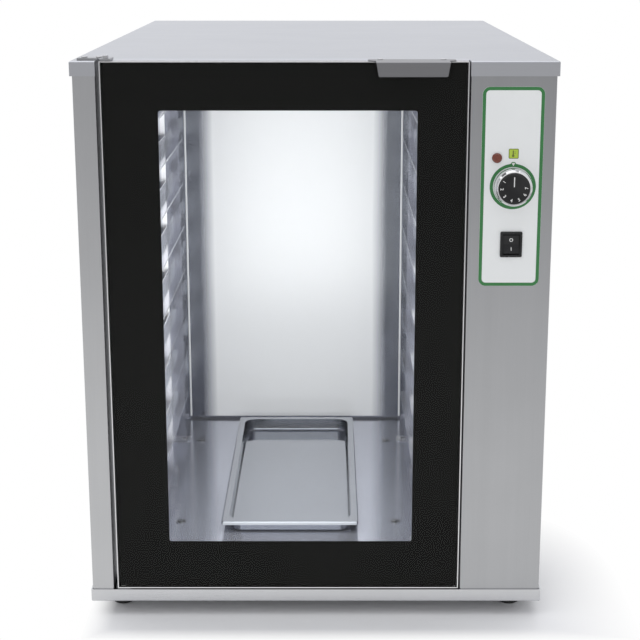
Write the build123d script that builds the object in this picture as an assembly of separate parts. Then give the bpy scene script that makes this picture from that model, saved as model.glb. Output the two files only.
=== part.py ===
"""Countertop proofing cabinet with a glass door, eight pairs of tray runners and a water pan.

Millimetres. +X is the cabinet's right side, -Y its front, +Z up. The origin is the centre of the
whole object's footprint on the worktop. Depths are counted from the front plane, the plane of the
door glass and the fascia, backwards: the function at() turns a depth into a Y.
"""

import os

from build123d import *

# Outer casing
cabinet_width = 590.0
cabinet_depth = 815.0
cover_overhang = 3.0
plinth_overhang = 2.0
cover_sheet = 1.5
panel_sheet = 1.2
liner_sheet = 0.8
bend_radius = 2.0
cover_rim = 18.0
plinth_rim = 17.0
foot_height = 20.0
foot_radius = 15.0
foot_inset_side = 34.0
foot_inset_end = 44.0
foot_bevel = 2.5
foot_socket_radius = 8.0
foot_socket_height = 6.0
foot_stud_radius = 4.0
stud_head_radius = 6.5
stud_head_height = 3.5
stud_nut_radius = 7.5
stud_nut_height = 6.5
stud_end = 2.5
vent_count = 11
vent_pitch = 14.0
vent_length = 60.0
vent_width = 5.0
post_width = 28.0
fascia_width = 104.0
fascia_return = 15.0
flange_width = 16.0
cover_lip = 14.0
seam = 0.3

# Door
hinge_side_gap = 5.0
latch_side_gap = 2.0
door_depth = 16.0
door_sheet = 1.2
door_heel_radius = 5.0
door_drop = 0.4
door_lift = 1.2
door_rail = 45.0
glass_thickness = 4.0
glass_play = 0.3
cover_gap = 4.0
pin_radius = 2.5
pin_inset = 7.0
pin_depth = 9.0
pin_play = 0.05
pin_head_rise = 4.0
pin_head_rim = 1.0
bush_wall = 1.5
bush_length = 12.0
bush_collar = 0.7
bush_collar_height = 1.2
hinge_plate_thickness = 2.5
hinge_nose_radius = 6.5
hinge_plate_length = 42.0
hinge_plate_depth = 28.5
hinge_plate_inset = 2.0
hinge_screw_inset = 8.0
hinge_screw_spacing = 18.0
hinge_screw_setback = 12.0
bracket_width = 22.0
bracket_web = 3.0
bracket_foot = 2.0

# Door handle: a folded tab over the door's top edge
handle_from_latch = 69.0
handle_reach = 27.0
handle_root_width = 106.0
handle_width = 88.0
handle_tip_width = 82.0
handle_drop = 17.5
handle_sheet = 1.5
handle_setback = 2.0
handle_flare = 9.0
handle_corner = 3.0
handle_hem = 4.0
handle_hem_inset = 2.5
handle_screw_inset = 14.8
handle_screw_setback = 9.0

# Chamber and its liner
wall_step = 3.0
side_step = 8.0
surround_corner = 6.0
hinge_side_room = 40.0
bay_side_room = 20.0
top_room = 35.0
chamber_floor_height = 43.0
chamber_depth = 624.0
baffle_side_room = 26.0
baffle_flange = 10.0
baffle_offset = 10.0
baffle_gap = 5.0
insulation_back = 40.0
insulation_top_gap = 7.7
insulation_front_gap = 12.0
partition_gap = 0.2
gasket_width = 4.0
gasket_corner = 3.0
seal_clearance = 0.4
bay_sheet = 1.0

# Tray rack: notched uprights and hooked runners
runner_count = 8
runner_pitch = 73.4
first_runner_rise = 63.6
top_runner_room = 69.6
runner_stand_off = 7.8
runner_width = 20.0
runner_sheet = 1.2
runner_guide = 16.0
runner_flange = 12.0
runner_hem = 3.0
runner_hem_inset = 8.0
runner_corner = 5.0
runner_front = 34.0
runner_back_room = 37.0
upright_sheet = 1.5
upright_flange = 25.0
upright_reach = 15.0
upright_front = 120.0
upright_back_room = 114.0
upright_top_margin = 36.0
upright_foot = 22.0
upright_foot_corner = 4.0
notch_play = 0.3
hook_height = 5.0
tooth_height = 16.0

# Water pan
pan_width = 194.0
pan_length = 426.0
pan_height = 20.0
pan_front = 149.0
pan_sheet = 0.8
pan_rim = 9.0
pan_edge = 4.5
pan_corner = 20.0
pan_heel_radius = 5.0
pan_outer_corner = 5.0
pan_taper = 8.0
pan_shift = 4.0
pan_play = 0.3

# Controls on the fascia
control_centre = 1.8
overlay_width = 75.2
overlay_length = 247.4
overlay_top_margin = 30.6
overlay_corner = 9.0
overlay_thickness = 0.6
knob_drop = 122.0
knob_radius = 23.5
knob_face_radius = 19.5
knob_height = 15.0
knob_gap = 0.8
knob_ring_height = 9.0
knob_wall = 2.0
knob_hub_wall = 4.0
knob_web = 4.0
knob_dish = 1.6
knob_lip = 3.0
knob_ring_lip = 2.8
shaft_radius = 3.0
shaft_play = 0.05
shaft_length = 20.0
neck_radius = 5.0
lamp_offset = -20.1
lamp_drop = 86.7
lamp_radius = 4.2
lamp_lens_radius = 6.2
lamp_lens_rise = 3.2
lamp_dome = 2.6
lamp_barrel = 24.0
lamp_collar = 2.0
lamp_collar_length = 3.0
switch_rise = 53.0
switch_width = 27.0
switch_length = 32.0
switch_wall = 3.2
switch_bezel = 2.4
switch_body_depth = 24.0
switch_well = 12.0
rocker_setback = 2.0
rocker_peak = 4.6
rocker_valley = 2.6
rocker_skirt = 4.5
rocker_play = 0.5
rocker_angle = 8.0
rocker_pin_radius = 1.5
thermostat_width = 36.0
thermostat_length = 44.0
thermostat_depth = 30.0
thermostat_tag_spacing = 14.0
switch_tag_spacing = 8.0
tag_width = 6.0
tag_length = 8.0
tag_sheet = 0.8
bulb_radius = 3.0
bulb_length = 90.0
bulb_drop = 22.0
bulb_back_room = 90.0
bulb_wall_gap = 2.0
capillary_bend_radius = 5.0
capillary_run = 60.0
bulb_lead = 24.0
clip_positions = (40.0, 96.0)
clip_width = 8.0
clip_sheet = 1.2
clip_tab = 14.0
capillary_radius = 0.8

# Heater, wiring and fasteners
heater_radius = 4.0
heater_front = 90.0
heater_back_room = 64.0
heater_inset = 85.0
heater_bend_radius = 24.0
heater_return_gap = 60.0
heater_tail = 18.0
heater_drop = 6.0
floor_screw_inset = 55.0
floor_screw_front = 195.0
floor_screw_back_room = 109.0
clamp_length = 14.0
clamp_wall = 2.0
clamp_reach = 6.0
clamp_hold = 8.0
cup_washer_radius = 7.5
cup_washer_height = 1.2
cup_washer_dish = 0.6
support_inset = 14.0
support_flange = 12.0
partition_foot = 14.0
gland_radius = 11.0
gland_neck_radius = 8.25
gland_thread = 14.0
gland_nut = 7.0
gland_cap = 10.0
gland_reach = 18.0
gland_bore = 4.5
gland_height = 78.0
gland_inset = 62.0
terminal_width = 62.0
terminal_depth = 24.0
terminal_height = 22.0
terminal_back_room = 130.0
terminal_poles = 5
terminal_bore = 2.2
terminal_bore_height = 9.0
terminal_screw_bore = 2.6
terminal_screw_setback = 7.0
louvre_rows = 6
louvre_pitch = 16.0
louvre_spacing = 90.0
louvre_top_margin = 90.0
louvre_width = 60.0
louvre_slot = 4.0
louvre_reach = 4.0
louvre_sheet = 1.0
magnet_width = 14.0
magnet_length = 40.0
magnet_pole = 2.0
magnet_setback = 0.4
magnet_side_gap = 4.0
strike_thickness = 0.8
strike_corner = 1.5
screw_radius = 2.0
screw_head_radius = 4.0
screw_head_height = 1.8
screw_head_round = 0.8
screw_play = 0.2
rear_screw_count = 4
rear_screw_length = 6.0
rear_screw_margin = 30.0

# What follows from the sizes above
body_half = cabinet_width / 2 - cover_overhang
chamber_half = body_half - (hinge_side_room + bay_side_room + fascia_width) / 2
opening_half = chamber_half - side_step
chamber_shift = -body_half + hinge_side_room + chamber_half
first_runner_height = chamber_floor_height + first_runner_rise
chamber_top = first_runner_height + (runner_count - 1) * runner_pitch + top_runner_room
cabinet_height = chamber_top + top_room
body_depth = cabinet_depth - 2 * cover_sheet
tray_bottom = foot_height + cover_sheet
cover_under = cabinet_height - cover_sheet
plinth_top = foot_height + plinth_rim
gland_end = body_depth + gland_reach
front_y = handle_reach - (handle_reach + gland_end) / 2

post_edge = -body_half + post_width
fascia_edge = body_half - fascia_width
door_left = post_edge + hinge_side_gap
door_right = fascia_edge - latch_side_gap
door_bottom = plinth_top + door_lift
door_top = cabinet_height - door_drop
pin_x = door_left + pin_inset

cover_edge = door_depth + cover_gap
surround_front = cover_edge + cover_sheet
surround_back = surround_front + liner_sheet

chamber_left = chamber_shift - chamber_half
chamber_right = chamber_shift + chamber_half
opening_top = chamber_top - wall_step
back_wall = chamber_depth + baffle_offset
runner_back = chamber_depth - runner_back_room
upright_back = chamber_depth - upright_back_room
heater_back = chamber_depth - heater_back_room
heater_half_width = chamber_half - heater_inset
floor_screw_half_spacing = chamber_half - floor_screw_inset
floor_screw_depths = (floor_screw_front, chamber_depth - floor_screw_back_room)
insulation_front = surround_back + insulation_front_gap
insulation_top = top_room - cover_sheet - liner_sheet - insulation_top_gap
insulation_right = bay_side_room - liner_sheet - partition_gap
partition_x = chamber_right + liner_sheet + insulation_right
magnet_middle = (door_bottom + door_top) / 2

overlay_x = fascia_edge + fascia_width / 2
overlay_top = cabinet_height - overlay_top_margin
control_x = overlay_x + control_centre
knob_z = overlay_top - knob_drop
lamp_z = overlay_top - lamp_drop
lamp_x = control_x + lamp_offset
switch_z = overlay_top - overlay_length + switch_rise
overlay_front = -overlay_thickness


def at(depth):
    """The Y of a depth behind the front plane."""
    return front_y + depth


def block(x_range, depth_range, z_range):
    """A box between three pairs of limits, given as X, depth and Z."""
    (x0, x1), (d0, d1), (z0, z1) = x_range, depth_range, z_range
    centre = Pos((x0 + x1) / 2, at((d0 + d1) / 2), (z0 + z1) / 2)
    return centre * Box(x1 - x0, d1 - d0, z1 - z0)


def folded_upright_sheet(points, thickness, z_range):
    """A sheet folded about vertical lines: (x, depth) points of its outer face in plan."""
    path = FilletPolyline(*[(x, at(depth)) for x, depth in points], radius=bend_radius)
    outline = path.wire().offset_2d(thickness, side=Side.LEFT, closed=True)
    z0, z1 = z_range
    return Pos(0, 0, z0) * extrude(make_face(outline.edges()), z1 - z0)


def disc(x, depth, z, radius, length):
    """A cylinder along Y that starts at a depth and runs backwards for its length."""
    return Pos(x, at(depth + length / 2), z) * Rot(90, 0, 0) * Cylinder(radius, length)


def turned(profile, x, z):
    """A solid of revolution about the line along Y through (x, z): (radius, depth) points."""
    outline = Polyline(*[(radius, at(depth)) for radius, depth in profile], close=True)
    return Pos(x, 0, z) * revolve(make_face(outline.edges()), Axis.Y)


def column(x, depth, z_range, radius):
    """A vertical cylinder between two heights."""
    z0, z1 = z_range
    return Pos(x, at(depth), (z0 + z1) / 2) * Cylinder(radius, z1 - z0)


def pan_head_screw_back(x, depth, z, length):
    """A screw along Y whose head stands behind the face at the given depth."""
    head = disc(x, depth, z, screw_head_radius, screw_head_height)
    head = fillet(head.edges().group_by(Axis.Y)[-1], screw_head_round)
    return head + disc(x, depth - length, z, screw_radius, length)


def foot_places():
    """(x, depth) of the four feet."""
    side = body_half - foot_inset_side
    return [(x, depth) for x in (-side, side) for depth in (foot_inset_end, body_depth - foot_inset_end)]


def runner_heights():
    """The height of each runner's top face."""
    return [first_runner_height + runner_pitch * level for level in range(runner_count)]


def mirrored(shape):
    """The shape reflected to the chamber's other side."""
    return shape.mirror(Plane.YZ.offset(chamber_shift))


# Casing


def base_tray():
    """The plinth: a tray with upturned walls that the casing stands in."""
    half = body_half + plinth_overhang
    depths = (-cover_sheet, body_depth + cover_sheet)
    outer = block((-half, half), depths, (foot_height, plinth_top))
    outer = fillet(outer.edges().filter_by(Axis.Z), bend_radius)
    outer = fillet(outer.faces().sort_by(Axis.Z)[0].edges(), bend_radius)
    inner_half = half - cover_sheet
    hollow = block((-inner_half, inner_half), (0, body_depth), (tray_bottom, plinth_top + 1))
    tray = outer - hollow
    vent = SlotOverall(vent_length, vent_width)
    for x, depth in foot_places():
        tray -= column(x, depth, (foot_height - 1, tray_bottom + 1), foot_stud_radius + seam)
    for x, depth in vent_places():
        tray -= Pos(x, at(depth), foot_height) * extrude(vent, cover_sheet * 2)
    return tray


def vent_places():
    """(x, depth) of the cooling slots under the controls' bay."""
    x = (partition_x + bay_sheet + body_half) / 2
    first = body_depth / 2 - vent_pitch * (vent_count - 1) / 2
    return [(x, first + vent_pitch * step) for step in range(vent_count)]


def top_cover():
    """The lid: a rim all round, cut away above the door, with a lip behind the door's top."""
    half = cabinet_width / 2
    depths = (-cover_sheet, body_depth + cover_sheet)
    low = cabinet_height - cover_rim
    outer = block((-half, half), depths, (low, cabinet_height))
    outer = fillet(outer.edges().filter_by(Axis.Z), bend_radius)
    outer = fillet(outer.faces().sort_by(Axis.Z)[-1].edges(), bend_radius)
    inner_half = half - cover_sheet
    cover = outer - block((-inner_half, inner_half), (0, body_depth), (low - 1, cover_under))
    gap_left = post_edge + seam
    gap_right = fascia_edge - seam
    cover -= block((gap_left, gap_right), (-cover_sheet - 1, cover_edge), (low - 1, cabinet_height + 1))
    cover -= block((gap_left, gap_right), (0, surround_front), (low - 1, cabinet_height + 1))
    lip_z = (cabinet_height - cover_lip, cabinet_height)
    lip = block((gap_left, gap_right), (cover_edge, surround_front), lip_z)
    lip = fillet(lip.edges().filter_by(Axis.X).group_by(Axis.Z)[-1].sort_by(Axis.Y)[0], cover_sheet - 0.1)
    return cover + lip


def left_side_panel():
    """The left side, folded round the front as the hinge post and back to the surround."""
    points = [
        (-body_half + flange_width, body_depth - panel_sheet),
        (-body_half, body_depth - panel_sheet),
        (-body_half, 0),
        (post_edge, 0),
        (post_edge, surround_front),
    ]
    return folded_upright_sheet(points, panel_sheet, (tray_bottom, cover_under)) - rear_screw_holes()


def right_side_panel():
    """The right side, with an inward flange behind the fascia's return."""
    front = fascia_return + seam
    points = [
        (body_half - flange_width, front),
        (body_half, front),
        (body_half, body_depth - panel_sheet),
        (body_half - flange_width, body_depth - panel_sheet),
    ]
    return folded_upright_sheet(points, panel_sheet, (tray_bottom, cover_under)) - rear_screw_holes()


def control_fascia():
    """The control panel: folded back beside the door and round the right corner."""
    points = [
        (fascia_edge, surround_front),
        (fascia_edge, 0),
        (body_half, 0),
        (body_half, fascia_return),
    ]
    fascia = folded_upright_sheet(points, panel_sheet, (tray_bottom, cover_under))
    fascia -= disc(control_x, -1, knob_z, neck_radius + seam, panel_sheet + 2)
    fascia -= disc(lamp_x, -1, lamp_z, lamp_radius + seam, panel_sheet + 2)
    return fascia - switch_cutout(-1, panel_sheet + 1)


def switch_cutout(front, back):
    """The hole that the rocker switch's body passes through."""
    half_width = switch_width / 2 - switch_wall / 2 + seam
    half_length = switch_length / 2 - switch_wall / 2 + seam
    x_range = (control_x - half_width, control_x + half_width)
    return block(x_range, (front, back), (switch_z - half_length, switch_z + half_length))


def rear_panel():
    """The screwed-on back, with two columns of hooded louvres and the cable gland's hole."""
    half = body_half - seam
    depths = (body_depth - panel_sheet, body_depth)
    panel = block((-half, half), depths, (tray_bottom, cover_under))
    for x, z in louvre_places():
        half_slot = louvre_width / 2 - louvre_slot
        panel -= block((x - half_slot, x + half_slot), (body_depth - 3, body_depth + 1), (z - louvre_slot, z))
        panel += louvre_hood(x, z)
    gland_hole = disc(gland_x(), body_depth - 3, gland_height, gland_neck_radius + seam, 6)
    return panel - rear_screw_holes() - gland_hole


def louvre_hood(x, z):
    """A pressed hood over one slot, open downwards."""
    reach, low = body_depth + louvre_reach, z - louvre_slot
    outer = [(body_depth, z + louvre_slot), (reach, z - louvre_sheet), (reach, low), (body_depth, low)]
    under, mouth = reach - louvre_sheet, low - louvre_sheet
    crown = z + louvre_slot - 1.6 * louvre_sheet
    inner = [(body_depth, crown), (under, z - 1.4 * louvre_sheet), (under, mouth), (body_depth, mouth)]
    hood = side_prism(outer, x, louvre_width)
    return hood - side_prism(inner, x, louvre_width - 2 * louvre_sheet)


def side_prism(points, x, width):
    """A prism along X, centred on x, from (depth, z) points of its section."""
    outline = Polyline(*[(0, at(depth), z) for depth, z in points], close=True)
    return Pos(x - width / 2, 0, 0) * extrude(make_face(outline.edges()), width, dir=(1, 0, 0))


def louvre_places():
    """(x, z) of the louvres: one group high up, one beside the gland."""
    rows = [cabinet_height - louvre_top_margin - louvre_pitch * row for row in range(louvre_rows)]
    return [(x, z) for x in (-louvre_spacing, 0, louvre_spacing) for z in rows]


def rear_screw_places():
    """(x, z) of the rear panel's screws, along both side flanges."""
    x = body_half - flange_width / 2
    low = plinth_top + rear_screw_margin
    pitch = (cabinet_height - cover_rim - rear_screw_margin - low) / (rear_screw_count - 1)
    return [(side * x, low + pitch * step) for side in (-1, 1) for step in range(rear_screw_count)]


def rear_screw_holes():
    """The holes for the rear screws, through the panel and the side flanges."""
    start, length = body_depth - 2 * rear_screw_length, 2 * rear_screw_length + 1
    return [disc(x, start, z, screw_radius + screw_play, length) for x, z in rear_screw_places()]


def rear_screws():
    """The screws that hold the rear panel to the side flanges."""
    return [pan_head_screw_back(x, body_depth, z, rear_screw_length) for x, z in rear_screw_places()]


def gland_x():
    """The cable gland's centre line."""
    return body_half - gland_inset


def cable_gland():
    """The cord's empty inlet: body, flange and dome nut round a through bore."""
    radius, neck = gland_radius, gland_neck_radius
    inside, outside = body_depth - panel_sheet, body_depth
    profile = [
        (gland_bore, inside - gland_thread),
        (neck, inside - gland_thread),
        (neck, inside - gland_nut),
        (radius, inside - gland_nut),
        (radius, inside),
        (neck, inside),
        (neck, outside),
        (radius, outside),
        (radius, outside + gland_cap),
        (neck, gland_end - 2),
        (gland_bore + 1.5, gland_end),
        (gland_bore, gland_end),
    ]
    return turned(profile, gland_x(), gland_height)


def feet():
    """Four rubber feet with a bevelled ground edge and a seat for the stud's head."""
    made = []
    for x, depth in foot_places():
        foot = column(x, depth, (0, foot_height), foot_radius)
        foot = fillet(foot.edges().group_by(Axis.Z)[0], foot_bevel)
        foot = chamfer(foot.edges().filter_by(GeomType.CIRCLE).group_by(Axis.Z)[-1], foot_bevel * 0.6)
        foot -= column(x, depth, (-1, foot_socket_height), foot_socket_radius)
        made.append(foot - column(x, depth, (0, foot_height + 1), foot_stud_radius))
    return made


def foot_studs():
    """The bolts through the feet, each with its nut inside the plinth."""
    made = []
    for x, depth in foot_places():
        seat = foot_socket_height
        head = column(x, depth, (seat - stud_head_height, seat), stud_head_radius)
        shank = column(x, depth, (seat, tray_bottom + stud_nut_height + stud_end), foot_stud_radius)
        nut_face = RegularPolygon(stud_nut_radius, 6)
        nut = Pos(x, at(depth), tray_bottom) * extrude(nut_face, stud_nut_height)
        made.append(head + shank + nut)
    return made


# Chamber


def front_surround():
    """The frame that the door closes against."""
    x_range = (post_edge, fascia_edge + panel_sheet)
    depths = (surround_front, surround_back)
    plate = block(x_range, depths, (tray_bottom, cover_under))
    opening = block(
        (chamber_shift - opening_half, chamber_shift + opening_half),
        (surround_front - 1, surround_back + 1),
        (chamber_floor_height, opening_top),
    )
    return plate - fillet(opening.edges().filter_by(Axis.Y).group_by(Axis.Z)[-1], surround_corner)


def chamber_floor():
    """The floor sheet, bored for its clamp screws."""
    x_range = (chamber_left - liner_sheet, chamber_right + liner_sheet)
    z_range = (chamber_floor_height - liner_sheet, chamber_floor_height)
    sheet = block(x_range, (surround_back, back_wall + liner_sheet), z_range)
    for x, depth in floor_screw_places():
        sheet -= column(x, depth, (z_range[0] - 1, z_range[1] + 1), screw_radius + screw_play / 2)
    return sheet


def chamber_ceiling():
    """The ceiling sheet on top of the walls."""
    x_range = (chamber_left - liner_sheet, chamber_right + liner_sheet)
    z_range = (chamber_top, chamber_top + liner_sheet)
    return block(x_range, (surround_back, back_wall + liner_sheet), z_range)


def chamber_left_wall():
    """The left wall, between floor and ceiling."""
    x_range = (chamber_left - liner_sheet, chamber_left)
    depths = (surround_back, back_wall + liner_sheet)
    return block(x_range, depths, (chamber_floor_height, chamber_top))


def chamber_right_wall():
    """The right wall, with the hole that the thermostat's capillary passes through."""
    return mirrored(chamber_left_wall()) - capillary_hole()


def chamber_back_wall():
    """The back wall, behind the baffle."""
    depths = (back_wall, back_wall + liner_sheet)
    return block((chamber_left, chamber_right), depths, (chamber_floor_height, chamber_top))


def rear_baffle():
    """The air baffle before the back wall, with a slot for the air below and above it."""
    half = chamber_half - baffle_side_room
    points = [
        (chamber_shift - half - baffle_flange, back_wall),
        (chamber_shift - half, back_wall),
        (chamber_shift - half, chamber_depth),
        (chamber_shift + half, chamber_depth),
        (chamber_shift + half, back_wall),
        (chamber_shift + half + baffle_flange, back_wall),
    ]
    path = FilletPolyline(*[(x, at(depth)) for x, depth in points], radius=bend_radius)
    outline = path.wire().offset_2d(liner_sheet, side=Side.RIGHT, closed=True)
    z0, z1 = chamber_floor_height + baffle_gap, chamber_top - baffle_gap
    return Pos(0, 0, z0) * extrude(make_face(outline.edges()), z1 - z0)


def door_gasket():
    """The silicone seal round the chamber's mouth."""
    half = chamber_shift - opening_half, chamber_shift + opening_half
    depths = (door_depth + seal_clearance, surround_front)
    width = gasket_width
    z_range = (chamber_floor_height - width, opening_top + width)
    outer = block((half[0] - width, half[1] + width), depths, z_range)
    outer = fillet(outer.edges().filter_by(Axis.Y), gasket_corner)
    inner = block(half, (depths[0] - 1, depths[1] + 1), (chamber_floor_height, opening_top))
    return outer - inner


def left_insulation():
    """The mineral wool between the left side and the chamber."""
    x_range = (-body_half + panel_sheet, chamber_left - liner_sheet)
    depths = (insulation_front, back_wall + liner_sheet)
    return block(x_range, depths, (chamber_floor_height, chamber_top))


def right_insulation():
    """The mineral wool between the chamber and the bay of the controls."""
    inner = chamber_right + liner_sheet
    depths = (insulation_front, back_wall + liner_sheet)
    slab = block((inner, inner + insulation_right), depths, (chamber_floor_height, chamber_top))
    return slab - capillary_hole()


def back_insulation():
    """The mineral wool behind the back wall."""
    x_range = (chamber_left - liner_sheet, chamber_right + liner_sheet)
    front = back_wall + liner_sheet
    return block(x_range, (front, front + insulation_back), (chamber_floor_height, chamber_top))


def top_insulation():
    """The mineral wool over the ceiling."""
    x_range = (chamber_left - liner_sheet, chamber_right + liner_sheet)
    bottom = chamber_top + liner_sheet
    return block(x_range, (insulation_front, back_wall), (bottom, bottom + insulation_top))


def bay_partition():
    """The sheet that closes the controls' bay off from the insulation, footed on the plinth."""
    x = partition_x
    depths = (surround_back, back_wall + liner_sheet + insulation_back)
    upright = block((x, x + bay_sheet), depths, (tray_bottom, cover_under))
    foot = block((x, x + partition_foot), depths, (tray_bottom, tray_bottom + bay_sheet))
    return upright + foot - capillary_hole() - heater_exits()


def capillary_hole():
    """The way of the thermostat's capillary along X, from the chamber to the controls' bay."""
    x, depth, z = bulb_entry()
    start, end = x - 1, partition_x + bay_sheet + 1
    way = Cylinder(capillary_radius + seam, end - start)
    return Pos((start + end) / 2, at(depth), z) * Rot(0, 90, 0) * way


def floor_supports():
    """Two folded rails that carry the chamber's floor on the plinth."""
    low, high = tray_bottom, chamber_floor_height - liner_sheet
    made = []
    for side in (-1, 1):
        x = chamber_shift + side * (chamber_half - support_inset)
        depths = (surround_back, back_wall)
        web = block((x - bay_sheet / 2, x + bay_sheet / 2), depths, (low, high))
        flange_x = sorted((x, x + side * support_flange))
        foot = block(flange_x, depths, (low, low + bay_sheet))
        cap = block(flange_x, depths, (high - bay_sheet, high))
        made.append(web + foot + cap - heater_exits())
    return made


def heater_exits():
    """The two holes that the heater's ends leave by, along X to the controls' bay."""
    start = chamber_shift + heater_half_width
    length = body_half - start
    exits = Cylinder(heater_radius + seam, length)
    places = [Pos(start + length / 2, at(depth), heater_height()) for depth in (heater_front, heater_back)]
    return [place * Rot(0, 90, 0) * exits for place in places]


# Tray rack


def runner_outer():
    """How far the runners' outer faces lie from the chamber's middle."""
    return chamber_half - runner_stand_off


def left_uprights():
    """The front and rear uprights of the left rack."""
    return [upright(upright_front), upright(upright_back)]


def upright(depth):
    """One upright: a wall flange, a foot and a narrow toothed flange that faces the door.

    Each tooth sits under a runner, whose side stands in the tooth's slot. Trays pass beside the flange.
    """
    top = runner_heights()[-1] + upright_top_margin
    inner = chamber_left + upright_reach
    z_range = (chamber_floor_height, top)
    depths = (depth, depth + upright_flange)
    slot_outer = chamber_shift - runner_outer() - notch_play
    plate = block((chamber_left, slot_outer), (depth, depth + upright_sheet), z_range)
    wall = block((chamber_left, chamber_left + upright_sheet), depths, z_range)
    foot_z = (chamber_floor_height, chamber_floor_height + upright_sheet)
    foot = block((chamber_left, inner + upright_foot), depths, foot_z)
    foot = fillet(foot.edges().filter_by(Axis.Z).group_by(Axis.X)[-1], upright_foot_corner)
    made = plate + wall + foot
    ends = (depth - 1, depth + upright_sheet + 1)
    slot_x = (slot_outer, slot_outer + runner_sheet + 2 * notch_play)
    for height in runner_heights():
        seat = height - runner_sheet
        slot_bottom = height - runner_flange + hook_height - notch_play
        made += block((chamber_left, inner), (depth, depth + upright_sheet), (seat - tooth_height, seat))
        made -= block(slot_x, ends, (slot_bottom, seat + 1))
    return made


def left_runners():
    """The left runners: a shelf with a hem, and a side that guides the tray and hooks over the teeth."""
    outer = chamber_shift - runner_outer()
    inner = outer + runner_width
    made = []
    for height in runner_heights():
        shelf = block((outer, inner), (runner_front, runner_back), (height - runner_sheet, height))
        shelf = fillet(shelf.edges().filter_by(Axis.Z).group_by(Axis.X)[-1], runner_corner)
        low = height - runner_flange
        side = block((outer, outer + runner_sheet), (runner_front, runner_back), (low, height + runner_guide))
        side = fillet(side.edges().filter_by(Axis.X), runner_corner)
        for depth in (upright_front, upright_back):
            notch = (depth - notch_play, depth + upright_sheet + notch_play)
            side -= block((outer - 1, outer + runner_sheet + 1), notch, (low - 1, low + hook_height))
        hem_depths = (runner_front + runner_hem_inset, runner_back - runner_hem_inset)
        hem = block((inner - runner_sheet, inner), hem_depths, (height - runner_hem, height))
        made.append(shelf + side + hem)
    return made


def rack_screws():
    """The screws that hold the uprights' feet to the floor, heads up."""
    made = []
    for side in (-1, 1):
        for depth in (upright_front, upright_back):
            x = chamber_shift + side * (chamber_half - upright_reach - upright_foot / 2)
            seat = chamber_floor_height + upright_sheet
            head = column(x, depth + upright_flange / 2, (seat, seat + screw_head_height), screw_head_radius)
            made.append(fillet(head.edges().group_by(Axis.Z)[-1], screw_head_round))
    return made


def floor_screw_places():
    """(x, depth) of the floor's four clamp screws."""
    spacing = floor_screw_half_spacing
    return [(chamber_shift + side * spacing, depth) for side in (-1, 1) for depth in floor_screw_depths]


def floor_screws():
    """The clamp screws, each with its cup washer, down through the floor to the heater's clamps."""
    made = []
    seat = chamber_floor_height
    for x, depth in floor_screw_places():
        dish, rim = seat + cup_washer_dish, seat + cup_washer_height
        washer = column(x, depth, (seat, rim), cup_washer_radius)
        washer -= column(x, depth, (dish, rim + 1), screw_head_radius + 1.5)
        head = column(x, depth, (dish, dish + screw_head_height + 0.4), screw_head_radius)
        head = fillet(head.edges().group_by(Axis.Z)[-1], screw_head_round)
        shank = column(x, depth, (heater_height() - heater_radius, dish), screw_radius)
        made.append(washer + head + shank)
    return made


# Heater and electrics


def heater_height():
    """The height of the heater tube's centre line, below the floor."""
    return chamber_floor_height - liner_sheet - heater_drop


def heating_element():
    """A bent sheathed heater under the floor, its ends out to the controls' bay."""
    left, right = chamber_shift - heater_half_width, chamber_shift + heater_half_width
    end = partition_x + bay_sheet + heater_tail
    front, back = at(heater_front), at(heater_back)
    middle = chamber_shift
    points = [
        (end, front),
        (left, front),
        (left, back),
        (middle, back),
        (middle, front + heater_return_gap),
        (right, front + heater_return_gap),
        (right, back),
        (end, back),
    ]
    path = Pos(0, 0, heater_height()) * FilletPolyline(*points, radius=heater_bend_radius).wire()
    section = Plane(origin=path @ 0, z_dir=path % 0) * Circle(heater_radius)
    return sweep(section, path)


def heater_clamps():
    """Four saddle clamps that hold the heater up against the floor."""
    made = []
    z = heater_height()
    under = chamber_floor_height - liner_sheet
    for x, depth in floor_screw_places():
        side = 1 if x > chamber_shift else -1
        tube_x = chamber_shift + side * heater_half_width
        span = sorted((tube_x - side * (heater_radius + clamp_reach), x + side * clamp_hold))
        depths = (depth - clamp_length / 2, depth + clamp_length / 2)
        bar = block(span, depths, (z - heater_radius - clamp_wall, under))
        groove = disc(tube_x, depths[0] - 1, z, heater_radius, clamp_length + 2)
        mouth_x = (tube_x - heater_radius, tube_x + heater_radius)
        mouth = block(mouth_x, (depths[0] - 1, depths[1] + 1), (z, under + 1))
        bore = column(x, depth, (z - heater_radius, under + 1), screw_radius)
        made.append(bar - groove - mouth - bore)
    return made


def bulb_entry():
    """Where the capillary goes through the chamber's right wall: x, depth, z."""
    return chamber_right, back_wall - bulb_back_room, chamber_top - bulb_drop


def thermostat_body():
    """The bulb thermostat: case behind the fascia and the neck that its shaft turns in."""
    half_width, half_length = thermostat_width / 2, thermostat_length / 2
    depths = (panel_sheet, panel_sheet + thermostat_depth)
    x_range = (control_x - half_width, control_x + half_width)
    case = block(x_range, depths, (knob_z - half_length, knob_z + half_length))
    case = fillet(case.edges().filter_by(Axis.Y), 3)
    neck = disc(control_x, overlay_front, knob_z, neck_radius, panel_sheet - overlay_front + 1)
    bore_depths = (overlay_front - 1, panel_sheet + shaft_length - 6)
    bore = disc(control_x, bore_depths[0], knob_z, shaft_radius + shaft_play, bore_depths[1] - bore_depths[0])
    rises = (-thermostat_tag_spacing, 0, thermostat_tag_spacing)
    return case + neck + [spade_tag(depths[1], knob_z + rise) for rise in rises] - bore


def spade_tag(depth, z):
    """A flat spade tag for a wire, behind the thermostat or the switch."""
    x_range = (control_x - tag_width / 2, control_x + tag_width / 2)
    return block(x_range, (depth - 1, depth + tag_length), (z, z + tag_sheet))


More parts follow.
